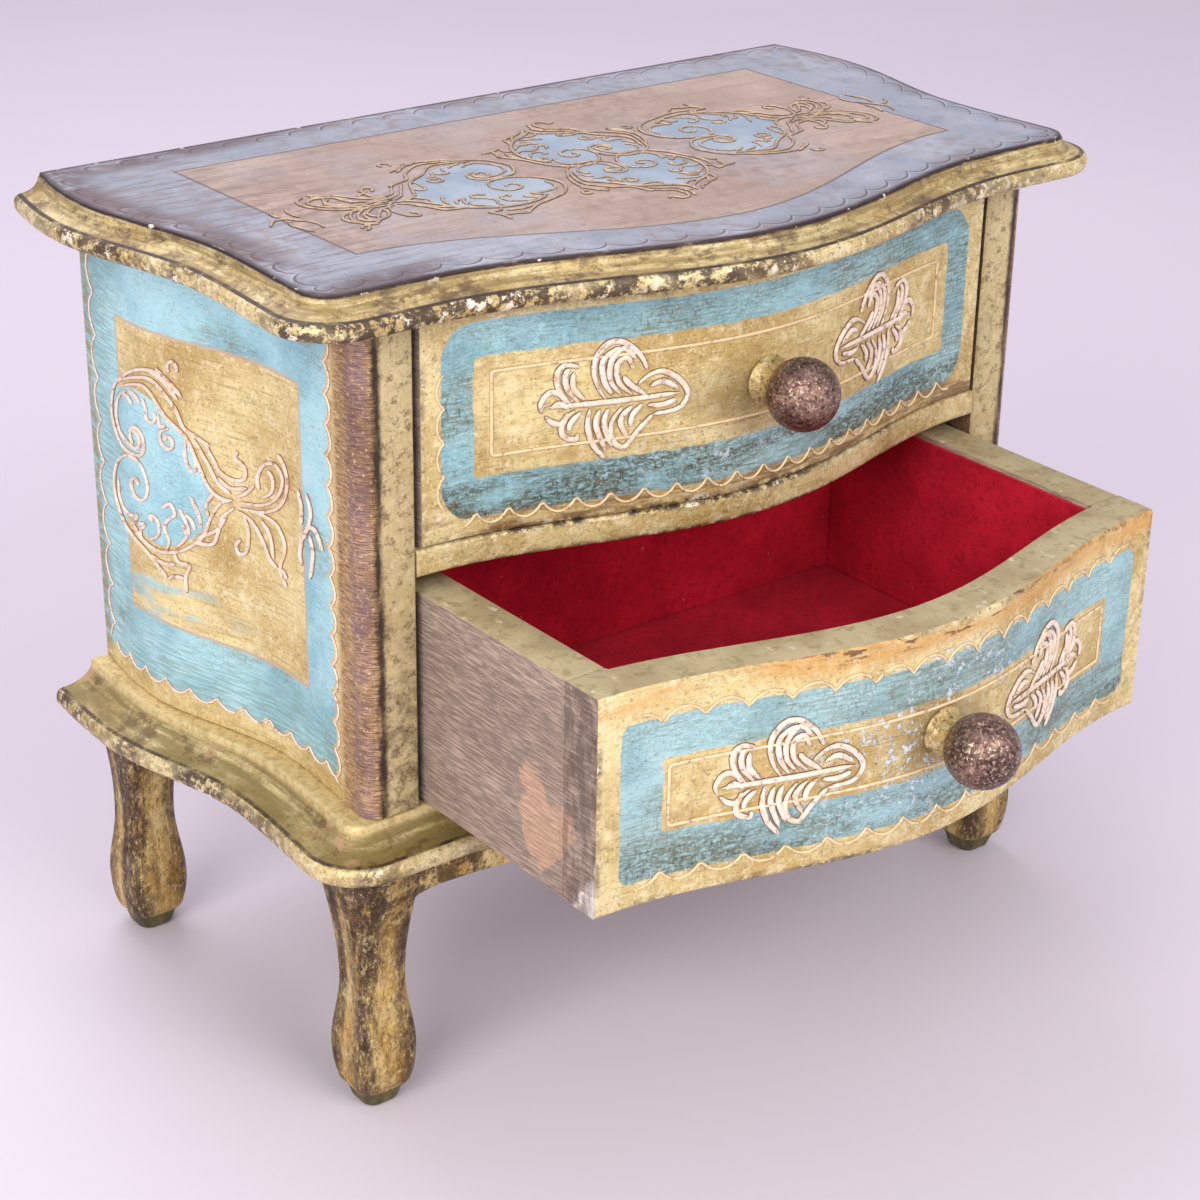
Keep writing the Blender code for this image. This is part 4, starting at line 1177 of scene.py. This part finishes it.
def rectangle(low, high, radius=0.8, spacing=2.5):
    """Closed line round a rectangle, with small round corners."""
    (a0, b0), (a1, b1) = [edge + radius for edge in low], [edge - radius for edge in high]
    corners = ((a1, b1), (a0, b1), (a0, b0), (a1, b0))
    line = []
    for quarter, (a, b) in enumerate(corners):
        for step in range(4):
            angle = (quarter + step / 3) * math.pi / 2
            line.append((a + radius * math.cos(angle), b + radius * math.sin(angle)))
        na, nb = corners[(quarter + 1) % 4]
        sa, sb = line[-1]
        ea, eb = na + radius * math.cos(angle), nb + radius * math.sin(angle)
        count = max(1, int(math.hypot(ea - sa, eb - sb) / spacing))
        line += [(sa + (ea - sa) * i / count, sb + (eb - sb) * i / count) for i in range(1, count)]
    return [*line, line[0]]


# --- pieces --------------------------------------------------------------------------------------


def shared(name, make, *values):
    """A material that several pieces share, made the first time that one of them asks for it."""
    return bpy.data.materials.get(name) or make(name, *values)


def bare_wood():
    """Grey-brown wood of the drawers, with its grain running from back to front."""
    return shared(
        "drawer_side_wood", wood_finish, shade("#b7a292"), shade("#9a8678"), (0.5, 0.06, 0.9), True
    )


def inner_wood():
    """Brown wood of the case, with its grain running across."""
    return shared("case_wood", wood_finish, shade("#8a6a4c"), shade("#5e4431"), (0.05, 0.4, 0.6))


def drawer_rim():
    """Painted top edge that the fronts and the boxes of the drawers share."""
    return shared("rim_paint", rim_finish)


class CHEST_OT_top(bpy.types.Operator):
    """Make the moulded top with its painted border and panel"""

    bl_idname = "chest.top"
    bl_label = "Top Board"

    def execute(self, context):
        lip_out, lip_thick, lip_depth, cove_out = 7.5, 4.3, 1.3, 5.7
        lip = half_round(lip_out, HEAD, lip_thick, lip_depth)
        cove = hollow((cove_out, HEAD + lip_thick + 0.2), (0.5, TOP - 0.9))
        step = [(0.0, TOP - 0.7), (0.0, TOP - 0.35), (-0.1, TOP - 0.1), (-0.35, TOP)]
        bands = evenly(len(lip), 0.0, 1.0) + evenly(len(cove), 1.1, 2.0) + [2.2, 2.6, 2.8, 3.035]
        insets = (0.8, 1.4, 2.2, 3.2, 4.5, 6, 7.5, 9, 10.5, 12, 14)
        mesh = board(
            [*lip, *cove, *step], bands, insets,
            waist=117.0, swell=8.4, back_taper=0.45, depth=123.4, bow=18.0, radius=8.5, level=TOP,
        )
        pick(mesh, 1, lambda face: face.normal.z < -0.9)
        add_piece("carved_top", mesh, [top_finish(), inner_wood()], "case", ["top_board"])
        return {"FINISHED"}


class CHEST_OT_base(bpy.types.Operator):
    """Make the moulded base with its lip, cove and bead"""

    bl_idname = "chest.base"
    bl_label = "Base Board"

    def execute(self, context):
        lip_thick, lip_depth = 4.9, 1.4
        lip = half_round(0.0, BASE_LOW, lip_thick, lip_depth)
        cove = hollow((-2.2, BASE_LOW + lip_thick + 0.2), (-11.0, BASE_HIGH - 0.9))
        step = [(-11.15, BASE_HIGH - 0.5), (-11.4, BASE_HIGH - 0.2), (-12.0, BASE_HIGH)]
        bands = evenly(len(lip), 0.0, 1.0) + evenly(len(cove), 1.1, 2.0) + [2.1, 2.2, 2.4]
        mesh = board(
            [*lip, *cove, *step], bands, (),
            waist=120.4, swell=9.4, back_taper=0.15, depth=131.0, bow=FRONT_BOW, radius=15.5,
            level=BASE_HIGH,
        )
        pick(mesh, 1, lambda face: face.normal.z < -0.9)
        add_piece("moulded_base", mesh, [base_finish(), inner_wood()], "case", ["base_board"])
        return {"FINISHED"}


class CHEST_OT_sides(bpy.types.Operator):
    """Make the two swelled side panels and paint them"""

    bl_idname = "chest.sides"
    bl_label = "Side Panels"

    def execute(self, context):
        low, high = (corner.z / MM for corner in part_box("left_side_panel"))
        paint = side_finish(low)
        line = [*SIDE_OUTLINE, (HALF_OPENING + 0.5, CASE_DEPTH), (HALF_OPENING, CASE_DEPTH - 0.5)]
        line += [(HALF_OPENING, 60.0), (HALF_OPENING, 0.0)]
        along = lengths(line)
        for name, sign in (("left", -1), ("right", 1)):
            rings = [[at(sign * x, y, z) for x, y in line] for z in (low, high)]
            mesh = lofted(rings, along, [low, high])
            pick(mesh, 1, lambda face: face.normal.x * sign < -0.9 or face.normal.y > 0.9)
            add_piece(
                f"{name}_painted_side", mesh, [paint, inner_wood()], "case", [f"{name}_side_panel"],
            )
        return {"FINISHED"}


class CHEST_OT_case(bpy.types.Operator):
    """Make the rail, shelf and back panel"""

    bl_idname = "chest.case"
    bl_label = "Rail, Shelf and Back"

    def execute(self, context):
        low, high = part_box("drawer_rail")
        half, foot = high.x / MM, low.z / MM
        rings = []
        for back, rise in eased(((1.0, 0.0), (0.45, 0.15), (0.12, 0.5), (0.0, 1.1)), high.z / MM - foot):
            line = bowed(half, CASE_DEPTH - back)
            line += [(-half, CASE_DEPTH - 12.0), (half, CASE_DEPTH - 12.0)]
            rings.append([at(x, y, foot + rise) for x, y in line])
        add_piece("gilded_rail", lofted(rings), [rail_finish()], "case", ["drawer_rail"])
        for node in ("drawer_shelf", "back_panel"):
            add_piece(f"{node}_board", softened(node), [inner_wood()], "case", [node])
        return {"FINISHED"}


# Heights up a leg in millimetres: the broadest of its foot and the narrowest of its calf.
FOOT_BROADEST = 16.0
NARROWEST = 36.0


class CHEST_OT_legs(bpy.types.Operator):
    """Make the four shaped legs and the front apron"""

    bl_idname = "chest.legs"
    bl_label = "Legs and Apron"

    def execute(self, context):
        finish = leg_finish()
        corners = {"front_left": (-1, 1), "front_right": (1, 1), "back_left": (-1, -1), "back_right": (1, -1)}
        for name, (out_x, out_y) in corners.items():
            low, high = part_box(f"{name}_leg")
            middle = (low + high) / 2 / MM
            rings, marks = [], []
            for height, width in leg_stations(high.z / MM):
                rise = max(0.0, (height - NARROWEST) / (high.z / MM - NARROWEST))
                edge = min(4.0, width / 3.2)
                line, around = rounded_square(width / 2, edge, edge + (8.0 - edge) * rise)
                rings.append([
                    Vector((middle.x + out_x * x, middle.y + out_y * y, height)) * MM for x, y in line
                ])
                marks.append(height)
            mesh = lofted(rings, around, marks)
            add_piece(f"{name}_gilded_leg", mesh, [finish], "case", [f"{name}_leg"], 60.0)
        mesh = lofted(apron_rings())
        add_piece("gilded_apron", mesh, [finish], "case", ["front_apron"], 60.0)
        return {"FINISHED"}


def apron_rings():
    """Sections of the apron from right to left, which drop and lean back as they meet the legs."""
    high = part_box("front_apron")[1].z / MM
    tall, thick, fillet = 7.6, 8.0, 9.0
    rings = []
    for step in range(81):
        x = APRON_REACH * (1 - 2 * step / 80)
        foot = min(0.98, max(0.0, (abs(x) - APRON_REACH + fillet) / fillet))
        drop = 5.6 * (1 - math.sqrt(1 - foot**2))
        bottom, lean = high - tall - drop, 0.9 * foot + 0.45 * drop
        front = APRON_FRONT + bow_at(x)
        section = (
            (0.0, high), (0.2 * foot, high - 3.0), (lean, bottom + 1.2), (lean + 0.4, bottom + 0.4),
            (lean + 1.2, bottom), (thick - 0.4, bottom), (thick, bottom + 0.4), (thick, high),
        )
        rings.append([at(x, front - back, height) for back, height in section])
    return rings


def leg_stations(top):
    """(height, width) up a leg: pad, round foot, narrow ankle, broad knee."""
    stations = [(0.0, 8.8), (0.4, 9.8), (1.2, 10.5), (3.0, 11.6), (4.7, 12.9), (5.3, 14.4)]
    for step in range(7, 13):
        angle = step / 12 * math.pi / 2
        stations.append((FOOT_BROADEST * (1 - math.cos(angle)), 7.0 + 10.6 * math.sin(angle)))
    for step in range(1, 13):
        share = (1 - math.cos(step / 12 * math.pi)) / 2
        height = FOOT_BROADEST + (NARROWEST - FOOT_BROADEST) * step / 12
        stations.append((height, 17.6 - 3.6 * share))
    for step in range(1, 17):
        turn = step / 16
        stations.append((NARROWEST + (top - NARROWEST) * turn, 14.0 + 7.0 * turn**2 * (3 - turn) / 2))
    return stations


def rounded_square(half, edge, knee):
    """Section of a leg, with how near each point is to an arris."""
    line, near = [], []
    quarters = ((1, 1, (0, half)), (-1, 1, (-half, 0)), (-1, -1, (0, -half)), (1, -1, (half, 0)))
    for quarter, (xs, ys, middle) in enumerate(quarters):
        radius = knee if (xs, ys) == (1, -1) else edge
        for step in range(7):
            angle = (quarter + step / 6) * math.pi / 2
            line.append((
                xs * (half - radius) + radius * math.cos(angle),
                ys * (half - radius) + radius * math.sin(angle),
            ))
            near.append(1.0 - abs(step / 6 - 0.5))
        line.append(middle)
        near.append(0.0)
    return line, near


def drawer_line(back, half):
    """Outline of a drawer's front in plan, its face set back by this much."""
    left = [(-half, WELL_FRONT), (-HALF_WELL - 0.2, WELL_FRONT)]
    inner = reversed(bowed(HALF_WELL, WELL_FRONT, steps=60))
    right = [(HALF_WELL + 0.2, WELL_FRONT), (half, WELL_FRONT)]
    return [*bowed(half, CASE_DEPTH - back), *left, *inner, *right]


def is_bare(face):
    """Whether a face of a drawer's front is left unpainted: its ends, inner side and underside."""
    return abs(face.normal.x) > 0.9 or face.normal.y > 0.3 or face.normal.z < -0.9


class CHEST_OT_drawer_fronts(bpy.types.Operator):
    """Make the bowed, painted drawer fronts"""

    bl_idname = "chest.drawer_fronts"
    bl_label = "Drawer Fronts"

    def execute(self, context):
        rim = drawer_rim()
        for kind in ("upper", "lower"):
            rings = []
            for back, rise in eased(((0.9, 0.0), (0.4, 0.12), (0.1, 0.45), (0.0, 1.0)), DRAWER_HEIGHT):
                line = drawer_line(back, HALF_DRAWER)
                rings.append([at(x, y + PULLED_OUT[kind], FLOOR[kind] + rise) for x, y in line])
            mesh = lofted(rings)
            pick(mesh, 1, lambda face: face.normal.z > 0.9)
            pick(mesh, 2, is_bare)
            add_piece(
                f"{kind}_painted_front", mesh, [front_finish(kind), rim, bare_wood()],
                f"{kind}_drawer", [f"{kind}_drawer_front"],
            )
        return {"FINISHED"}


class CHEST_OT_drawer_boxes(bpy.types.Operator):
    """Make the drawers' sides, backs and bottoms"""

    bl_idname = "chest.drawer_boxes"
    bl_label = "Drawer Boxes"

    def execute(self, context):
        rim = drawer_rim()
        for kind in ("upper", "lower"):
            for part in ("left_side", "right_side", "back", "bottom"):
                node = f"{kind}_drawer_{part}"
                mesh = softened(node, 0.5)
                pick(mesh, 1, lambda face: face.normal.z > 0.8)
                add_piece(f"{node}_board", mesh, [bare_wood(), rim], f"{kind}_drawer", [node])
        return {"FINISHED"}


def felt_sheet(columns, rows, thickness, surface):
    """Felt over surface(s, t), which gives a point and its outward direction, for s and t from 0 to 1."""
    mesh = bmesh.new()
    made = bmesh.ops.create_grid(mesh, x_segments=columns, y_segments=rows, size=1.0)
    for vertex in made["verts"]:
        s, t = (vertex.co.x + 1) / 2, (vertex.co.y + 1) / 2
        point, out = surface(s, t)
        ripple = 0.10 * math.sin(9 * s + 2.1 * t) * math.sin(7 * t + 1.3)
        vertex.co = (point + out * ripple) * MM
    turn_towards(mesh, surface(0.5, 0.5)[1])
    bmesh.ops.solidify(mesh, geom=list(mesh.faces), thickness=thickness)
    bmesh.ops.recalc_face_normals(mesh, faces=mesh.faces)
    return mesh


def felt_surface(part, low, high, pull):
    """Surface of one felt lining within its box: gives a point and its outward direction at (s, t)."""
    sunk = 0.12  # how far the felt's face lies under its box
    wide, long, tall = high - low
    rear = WELL_BACK + 0.3 + pull

    def floor(s, t):
        x = low.x + wide * s
        ahead = rear + (floor_front(x, pull) - rear) * t
        return Vector((x, BACK - ahead, high.z - sunk)), Vector((0, 0, 1))

    def front(s, t):
        x = low.x + wide * s
        ahead = WELL_FRONT + bow_at(x) - 1.2 + pull
        return Vector((x, BACK - ahead, low.z + tall * t)), Vector((0, 1, 0))

    def back(s, t):
        return Vector((low.x + wide * s, low.y + sunk, low.z + tall * t)), Vector((0, -1, 0))

    def left(s, t):
        return Vector((high.x - sunk, low.y + long * s, low.z + tall * t)), Vector((1, 0, 0))

    def right(s, t):
        return Vector((low.x + sunk, low.y + long * s, low.z + tall * t)), Vector((-1, 0, 0))

    return {"floor": floor, "front": front, "back": back, "left": left, "right": right}[part]


def floor_front(x, pull):
    """Distance ahead of the back of the floor felt's bowed front edge."""
    return WELL_FRONT + bow_at(x) - 0.3 + pull


def felt_size(part, low, high, pull):
    """Flat width and length of one felt lining, and its area where it isn't a rectangle."""
    wide, long, tall = high - low
    if part == "floor":
        rear = WELL_BACK + 0.3 + pull
        strips = [low.x + wide * (step + 0.5) / 200 for step in range(200)]
        area = sum(floor_front(x, pull) - rear for x in strips) * wide / 200
        return wide, floor_front(0, pull) - rear, area
    if part == "front":
        edge = [(low.x + wide * step / 200, bow_at(low.x + wide * step / 200)) for step in range(201)]
        return lengths(edge)[-1], tall, None
    return (wide if part == "back" else long), tall, None


# Parts of a drawer's lining, each with its grid and the board that it rests on.
LINING = {
    "floor": ((56, 44), "bottom"), "front": ((60, 18), "front"), "back": ((56, 18), "back"),
    "left": ((44, 18), "left_side"), "right": ((44, 18), "right_side"),
}


class CHEST_OT_felt(bpy.types.Operator):
    """Lay the felt on the floor and walls of both drawers"""

    bl_idname = "chest.felt"
    bl_label = "Felt Lining"

    def execute(self, context):
        thickness = context.scene.chest_sizes.felt_thickness
        finish = felt_finish()
        for kind in ("upper", "lower"):
            for part, (grid, board_name) in LINING.items():
                node = f"{kind}_{part}_lining"
                low, high = (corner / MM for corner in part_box(node))
                mesh = felt_sheet(*grid, thickness, felt_surface(part, low, high, PULLED_OUT[kind]))
                sheet = add_piece(f"{kind}_{part}_felt", mesh, [finish], f"{kind}_drawer", [node])
                width, length, area = felt_size(part, low, high, PULLED_OUT[kind])
                facts = {"area": area * MM * MM} if area else {}
                width * MM
                length * MM
                "laid" if part == "floor" else "stretched"
        return {"FINISHED"}


class CHEST_OT_knobs(bpy.types.Operator):
    """Turn the two knobs"""

    bl_idname = "chest.knobs"
    bl_label = "Knobs"

    def execute(self, context):
        ball = context.scene.chest_sizes.knob_radius / MM
        bronze = bronze_finish()
        neck = gold_finish("knob_neck_gilding")
        neck.colour(gilded(neck, 0.8, 0.8, 0.8))
        neck.raise_by(neck.noise(0.8, shift=201.0), 0.2)
        collar = (
            (0.0, 0.3), (6.2, 0.3), (6.4, 0.5), (6.4, 0.9), (6.1, 1.3), (5.4, 1.8), (5.0, 2.6), (4.75, 3.6),
        )
        for kind in ("upper", "lower"):
            face = CASE_DEPTH + FRONT_BOW + PULLED_OUT[kind]
            centre = face + 13.2
            profile = [(radius, face + ahead) for radius, ahead in collar]
            meets = math.asin(4.8 / ball)
            for step in range(33):
                angle = meets + (math.pi - meets) * step / 32
                profile.append((max(ball * math.sin(angle), 0.0), centre - ball * math.cos(angle)))
            mesh = bmesh.new()
            line = [mesh.verts.new(at(radius, y, FLOOR[kind] + DRAWER_HEIGHT / 2)) for radius, y in profile]
            edges = [mesh.edges.new(pair) for pair in zip(line, line[1:])]
            axis = at(0, centre, FLOOR[kind] + DRAWER_HEIGHT / 2)
            bmesh.ops.spin(
                mesh, geom=line + edges, cent=axis, axis=(0, 1, 0), dvec=(0, 0, 0),
                angle=2 * math.pi, steps=56, use_merge=True,
            )
            bmesh.ops.remove_doubles(mesh, verts=mesh.verts, dist=0.001 * MM)
            bmesh.ops.recalc_face_normals(mesh, faces=mesh.faces)
            limit = at(0, centre - ball + 1.4, 0).y
            pick(mesh, 1, lambda piece: piece.calc_center_median().y > limit)
            add_piece(
                f"{kind}_turned_knob", mesh, [bronze, neck.material], f"{kind}_drawer",
                [f"{kind}_drawer_knob"],
            )
        return {"FINISHED"}


class CHEST_OT_side_relief(bpy.types.Operator):
    """Model the raised heart, sprays and scallops on both sides"""

    bl_idname = "chest.side_relief"
    bl_label = "Side Scrolls"

    def execute(self, context):
        sizes = context.scene.chest_sizes
        rise, cord = sizes.relief_rise / MM, sizes.cord_width / MM
        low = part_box("left_side_panel")[0].z / MM
        pale = relief_finish("side_relief", shade("#f0dbd2"), shade("#8a6444"))
        inlay = Finish("side_inlay")
        inlay.colour(rubbed_blue(inlay, 0.35))
        inlay.raise_by(inlay.noise(0.8, shift=203.0), 0.15)
        for name, sign in (("left", -1), ("right", 1)):
            face = side_place(sign)
            place = shifted(face, 22.0, low + 66.1)
            mesh = bmesh.new()
            width = sizes.stroke_width / MM
            add_strokes(mesh, HEART + SPRAY, place, rise, width)
            add_strokes(mesh, FLEUR, place, rise, width * 1.3)
            front = scallop_line(
                low + 4.0, low + 124.5, FIELD_FRONT - CUSPS, SIDE_PITCH, SCALLOP_BULGE, upright=True
            )
            arcs = scallop_line(9.0, 104.0, 0.0, BOTTOM_PITCH, SCALLOP_BULGE)
            bottom = [(a, low + FIELD_LOW - b) for a, b in arcs]
            arcs = scallop_line(
                low + 8.0, low + 124.0, 0.0, SIDE_PITCH * 1.5, SCALLOP_BULGE * 1.5, upright=True
            )
            rear = [(9.5 - a, b) for a, b in arcs]
            for line in (front, bottom, rear):
                add_cord(mesh, line, cord, face)
            add_piece(f"{name}_side_scrolls", finish_ridges(mesh), [pale], "case")
            mesh = bmesh.new()
            add_inlay(mesh, HEART_FILL, place, 0.12)
            bmesh.ops.recalc_face_normals(mesh, faces=mesh.faces)
            if sum(face.normal.x for face in mesh.faces) * sign < 0:
                bmesh.ops.reverse_faces(mesh, faces=mesh.faces)
            add_piece(f"{name}_side_heart", mesh, [inlay.material], "case")
        return {"FINISHED"}


class CHEST_OT_top_relief(bpy.types.Operator):
    """Model the low scrolls and blue hearts on the top"""

    bl_idname = "chest.top_relief"
    bl_label = "Top Scrolls"

    def execute(self, context):
        rise = context.scene.chest_sizes.top_rise / MM
        line = relief_finish("top_relief", shade("#a3907c"), shade("#4e3c30"), 0.5)
        inlay = Finish("top_inlay", roughness=0.45)
        colour = inlay.mix(inlay.noise(0.05, 0.4, 0.62, shift=211.0), shade("#a3b2bf"), shade("#8d9fb0"))
        streaks = inlay.noise((0.06, 1.2, 1.0), 0.58, 0.7, shift=213.0)
        colour = inlay.mix(streaks * 0.5, colour, shade("#66757c"))
        inlay.colour(inlay.mix(inlay.noise(1.1, 0.66, 0.76, shift=215.0) * 0.5, colour, shade("#e4e4e8")))
        inlay.raise_by(inlay.noise(0.8, shift=217.0), 0.12)
        scrolls, hearts = bmesh.new(), bmesh.new()
        turned = [[(a * 0.94, -b * 0.94) for a, b in points] for points in SPRAY]
        sprayed = HEART + SPRAY + turned + FLEUR
        for origin, direction, scale, strokes in (
            ((-27.0, 71.0), (-1, 0), 0.92, sprayed), ((31.0, 68.0), (1, 0), 0.92, sprayed),
            ((2.0, 68.0), (0, -1), 0.78, HEART), ((2.0, 74.0), (0, 1), 0.78, HEART),
        ):
            place = top_place(origin, direction)
            add_strokes(scrolls, strokes, place, rise, 1.0, scale, 3)
            add_inlay(hearts, [(a * scale, b * scale) for a, b in HEART_FILL], place, 0.06)
        add_piece("top_scrolls", finish_ridges(scrolls), [line], "case")
        turn_towards(hearts, Vector((0, 0, 1)))
        add_piece("top_hearts", hearts, [inlay.material], "case")
        return {"FINISHED"}


class CHEST_OT_front_relief(bpy.types.Operator):
    """Model the palmettes, panel lines and scallops on the drawer fronts"""

    bl_idname = "chest.front_relief"
    bl_label = "Drawer Palmettes"

    def execute(self, context):
        sizes = context.scene.chest_sizes
        rise, cord = sizes.relief_rise / MM, sizes.cord_width / MM
        pale = relief_finish("front_relief", context.scene.chest_colours.relief, shade("#6f4c34"), 0.40)
        lines = relief_finish("front_cords", shade("#e7d0a8"), shade("#a8834a"))
        for kind in ("upper", "lower"):
            layout = FRONT_LAYOUT[kind]
            face = front_place(kind)
            low, high = layout["line"]
            level = layout["level"]
            mesh = bmesh.new()
            width = sizes.stroke_width / MM * 1.5
            for side in (shifted(face, -61.5, level), shifted(face, 63.5, level, turn=-1)):
                add_strokes(mesh, PALMETTE, side, rise, width, taper=(0.4, 1.05, 0.75))
            add_piece(f"{kind}_palmettes", finish_ridges(mesh), [pale], f"{kind}_drawer")
            mesh = bmesh.new()
            add_ridge(mesh, rectangle(low, high), (cord * 1.3,) * 3, face, cord * 0.6, closed=True)
            (left, bottom), (right, top) = layout["field"]
            pitch = layout["pitch"]
            arcs = scallop_line(left + 5, right - 4, 0.0, pitch, FRONT_BULGE)
            add_cord(mesh, [(a, bottom + CUSPS - b) for a, b in arcs], cord, face)
            if kind == "lower":
                row = scallop_line(left + 5, right - 4, top - CUSPS, pitch, FRONT_BULGE)
            else:
                row = [(left - a + 1.0, b) for a, b in scallop_line(8, 42, 0.0, pitch, 2.2, upright=True)]
            add_cord(mesh, row, cord, face)
            add_piece(f"{kind}_front_cords", finish_ridges(mesh), [lines], f"{kind}_drawer")
        return {"FINISHED"}


class CHEST_OT_joinery(bpy.types.Operator):
    """Give the screws and dowels their wood and steel"""

    bl_idname = "chest.joinery"
    bl_label = "Screws and Dowels"

    def execute(self, context):
        steel = Finish("screw_steel", roughness=0.32, metallic=1.0)
        steel.colour(steel.mix(steel.noise(0.8, 0.4, 0.7), shade("#a8a49c"), shade("#7c766c")))
        steel.raise_by(steel.noise((3.0, 0.2, 3.0), shift=221.0), 0.05)
        for name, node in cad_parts.items():
            if name.endswith(("_screw", "_dowel")):
                node.data.materials.clear()
                node.data.materials.append(steel.material if name.endswith("_screw") else inner_wood())
        return {"FINISHED"}


class CHEST_OT_stage(bpy.types.Operator):
    """Set the floor, lights and camera"""

    bl_idname = "chest.stage"
    bl_label = "Stage"

    def execute(self, context):
        floor = bmesh.new()
        bmesh.ops.create_grid(floor, x_segments=4, y_segments=4, size=6.0)
        bmesh.ops.translate(floor, verts=floor.verts, vec=(0, 0, -0.0002))
        data = bpy.data.meshes.new("floor")
        floor.to_mesh(data)
        floor.free()
        paint = Finish("floor_paint", roughness=0.7)
        cloud = paint.noise(0.002, 0.3, 0.7)
        paint.colour(paint.mix(cloud * 0.4, shade("#d9d2dd"), shade("#cfc7d4")))
        data.materials.append(paint.material)
        made = bpy.data.objects.new("floor", data)
        context.scene.collection.objects.link(made)
        world = bpy.data.worlds.new("studio")
        context.scene.world = world
        world.use_nodes = True
        sky = world.node_tree.nodes["Background"]
        sky.inputs["Color"].default_value = shade("#e2dde6")
        sky.inputs["Strength"].default_value = 0.80
        target = Vector((0.0, -0.02, 0.11))
        for name, place, size, power, tint in (
            ("key", (-1.25, -0.55, 0.75), 0.9, 15.5, "#fffaf2"),
            ("fill", (0.1, -1.45, 0.95), 1.0, 14.0, "#fffcf6"),
            ("rim", (0.1, 0.85, 1.35), 0.9, 9.0, "#fbf4ff"),
        ):
            light = bpy.data.lights.new(name, "AREA")
            light.shape, light.size, light.energy = "SQUARE", size, power
            light.color = shade(tint)[:3]
            lamp = bpy.data.objects.new(name, light)
            lamp.location = place
            lamp.rotation_euler = (target - Vector(place)).to_track_quat("-Z", "Y").to_euler()
            context.scene.collection.objects.link(lamp)
        place, lens = Vector((-0.40663, -0.47279, 0.39795)), 79.08
        yaw, pitch, roll = (math.radians(angle) for angle in (38.4165, 25.0534, 0.96143))
        ahead = Vector((math.sin(yaw) * math.cos(pitch), math.cos(yaw) * math.cos(pitch), -math.sin(pitch)))
        right = Vector((math.cos(yaw), -math.sin(yaw), 0))
        up = right.cross(ahead)
        turned_right = math.cos(roll) * right + math.sin(roll) * up
        turned_up = math.cos(roll) * up - math.sin(roll) * right
        turn = Matrix((turned_right, turned_up, -ahead)).transposed().to_4x4()
        camera = bpy.data.cameras.new("camera")
        camera.lens, camera.sensor_width = lens, 36.0
        viewer = bpy.data.objects.new("camera", camera)
        viewer.matrix_world = Matrix.Translation(place) @ turn
        context.scene.collection.objects.link(viewer)
        context.scene.camera = viewer
        context.scene.view_settings.view_transform = "Standard"
        return {"FINISHED"}


OPERATORS = (
    CHEST_OT_stage,
    CHEST_OT_top,
    CHEST_OT_base,
    CHEST_OT_sides,
    CHEST_OT_case,
    CHEST_OT_legs,
    CHEST_OT_drawer_fronts,
    CHEST_OT_drawer_boxes,
    CHEST_OT_felt,
    CHEST_OT_knobs,
    CHEST_OT_side_relief,
    CHEST_OT_top_relief,
    CHEST_OT_front_relief,
    CHEST_OT_joinery,
)


class CHEST_PT_panel(bpy.types.Panel):
    """Pieces of the chest and the settings of their decoration"""

    bl_label = "Jewellery Chest"
    bl_idname = "CHEST_PT_panel"
    bl_space_type = "VIEW_3D"
    bl_region_type = "UI"
    bl_category = "Chest"

    def draw(self, context):
        for group in (context.scene.chest_sizes, context.scene.chest_colours):
            for name in group.__annotations__:
                self.layout.prop(group, name)
        for operator in OPERATORS:
            self.layout.operator(operator.bl_idname)


CLASSES = (ChestSizes, ChestColours, *OPERATORS, CHEST_PT_panel)


def register():
    for made in CLASSES:
        bpy.utils.register_class(made)
    bpy.types.Scene.chest_sizes = bpy.props.PointerProperty(type=ChestSizes)
    bpy.types.Scene.chest_colours = bpy.props.PointerProperty(type=ChestColours)


def unregister():
    del bpy.types.Scene.chest_colours
    del bpy.types.Scene.chest_sizes
    for made in reversed(CLASSES):
        bpy.utils.unregister_class(made)


def main():
    register()
    for operator in OPERATORS:
        getattr(bpy.ops.chest, operator.bl_idname.split(".")[1])()


if __name__ == "__main__":
    main()
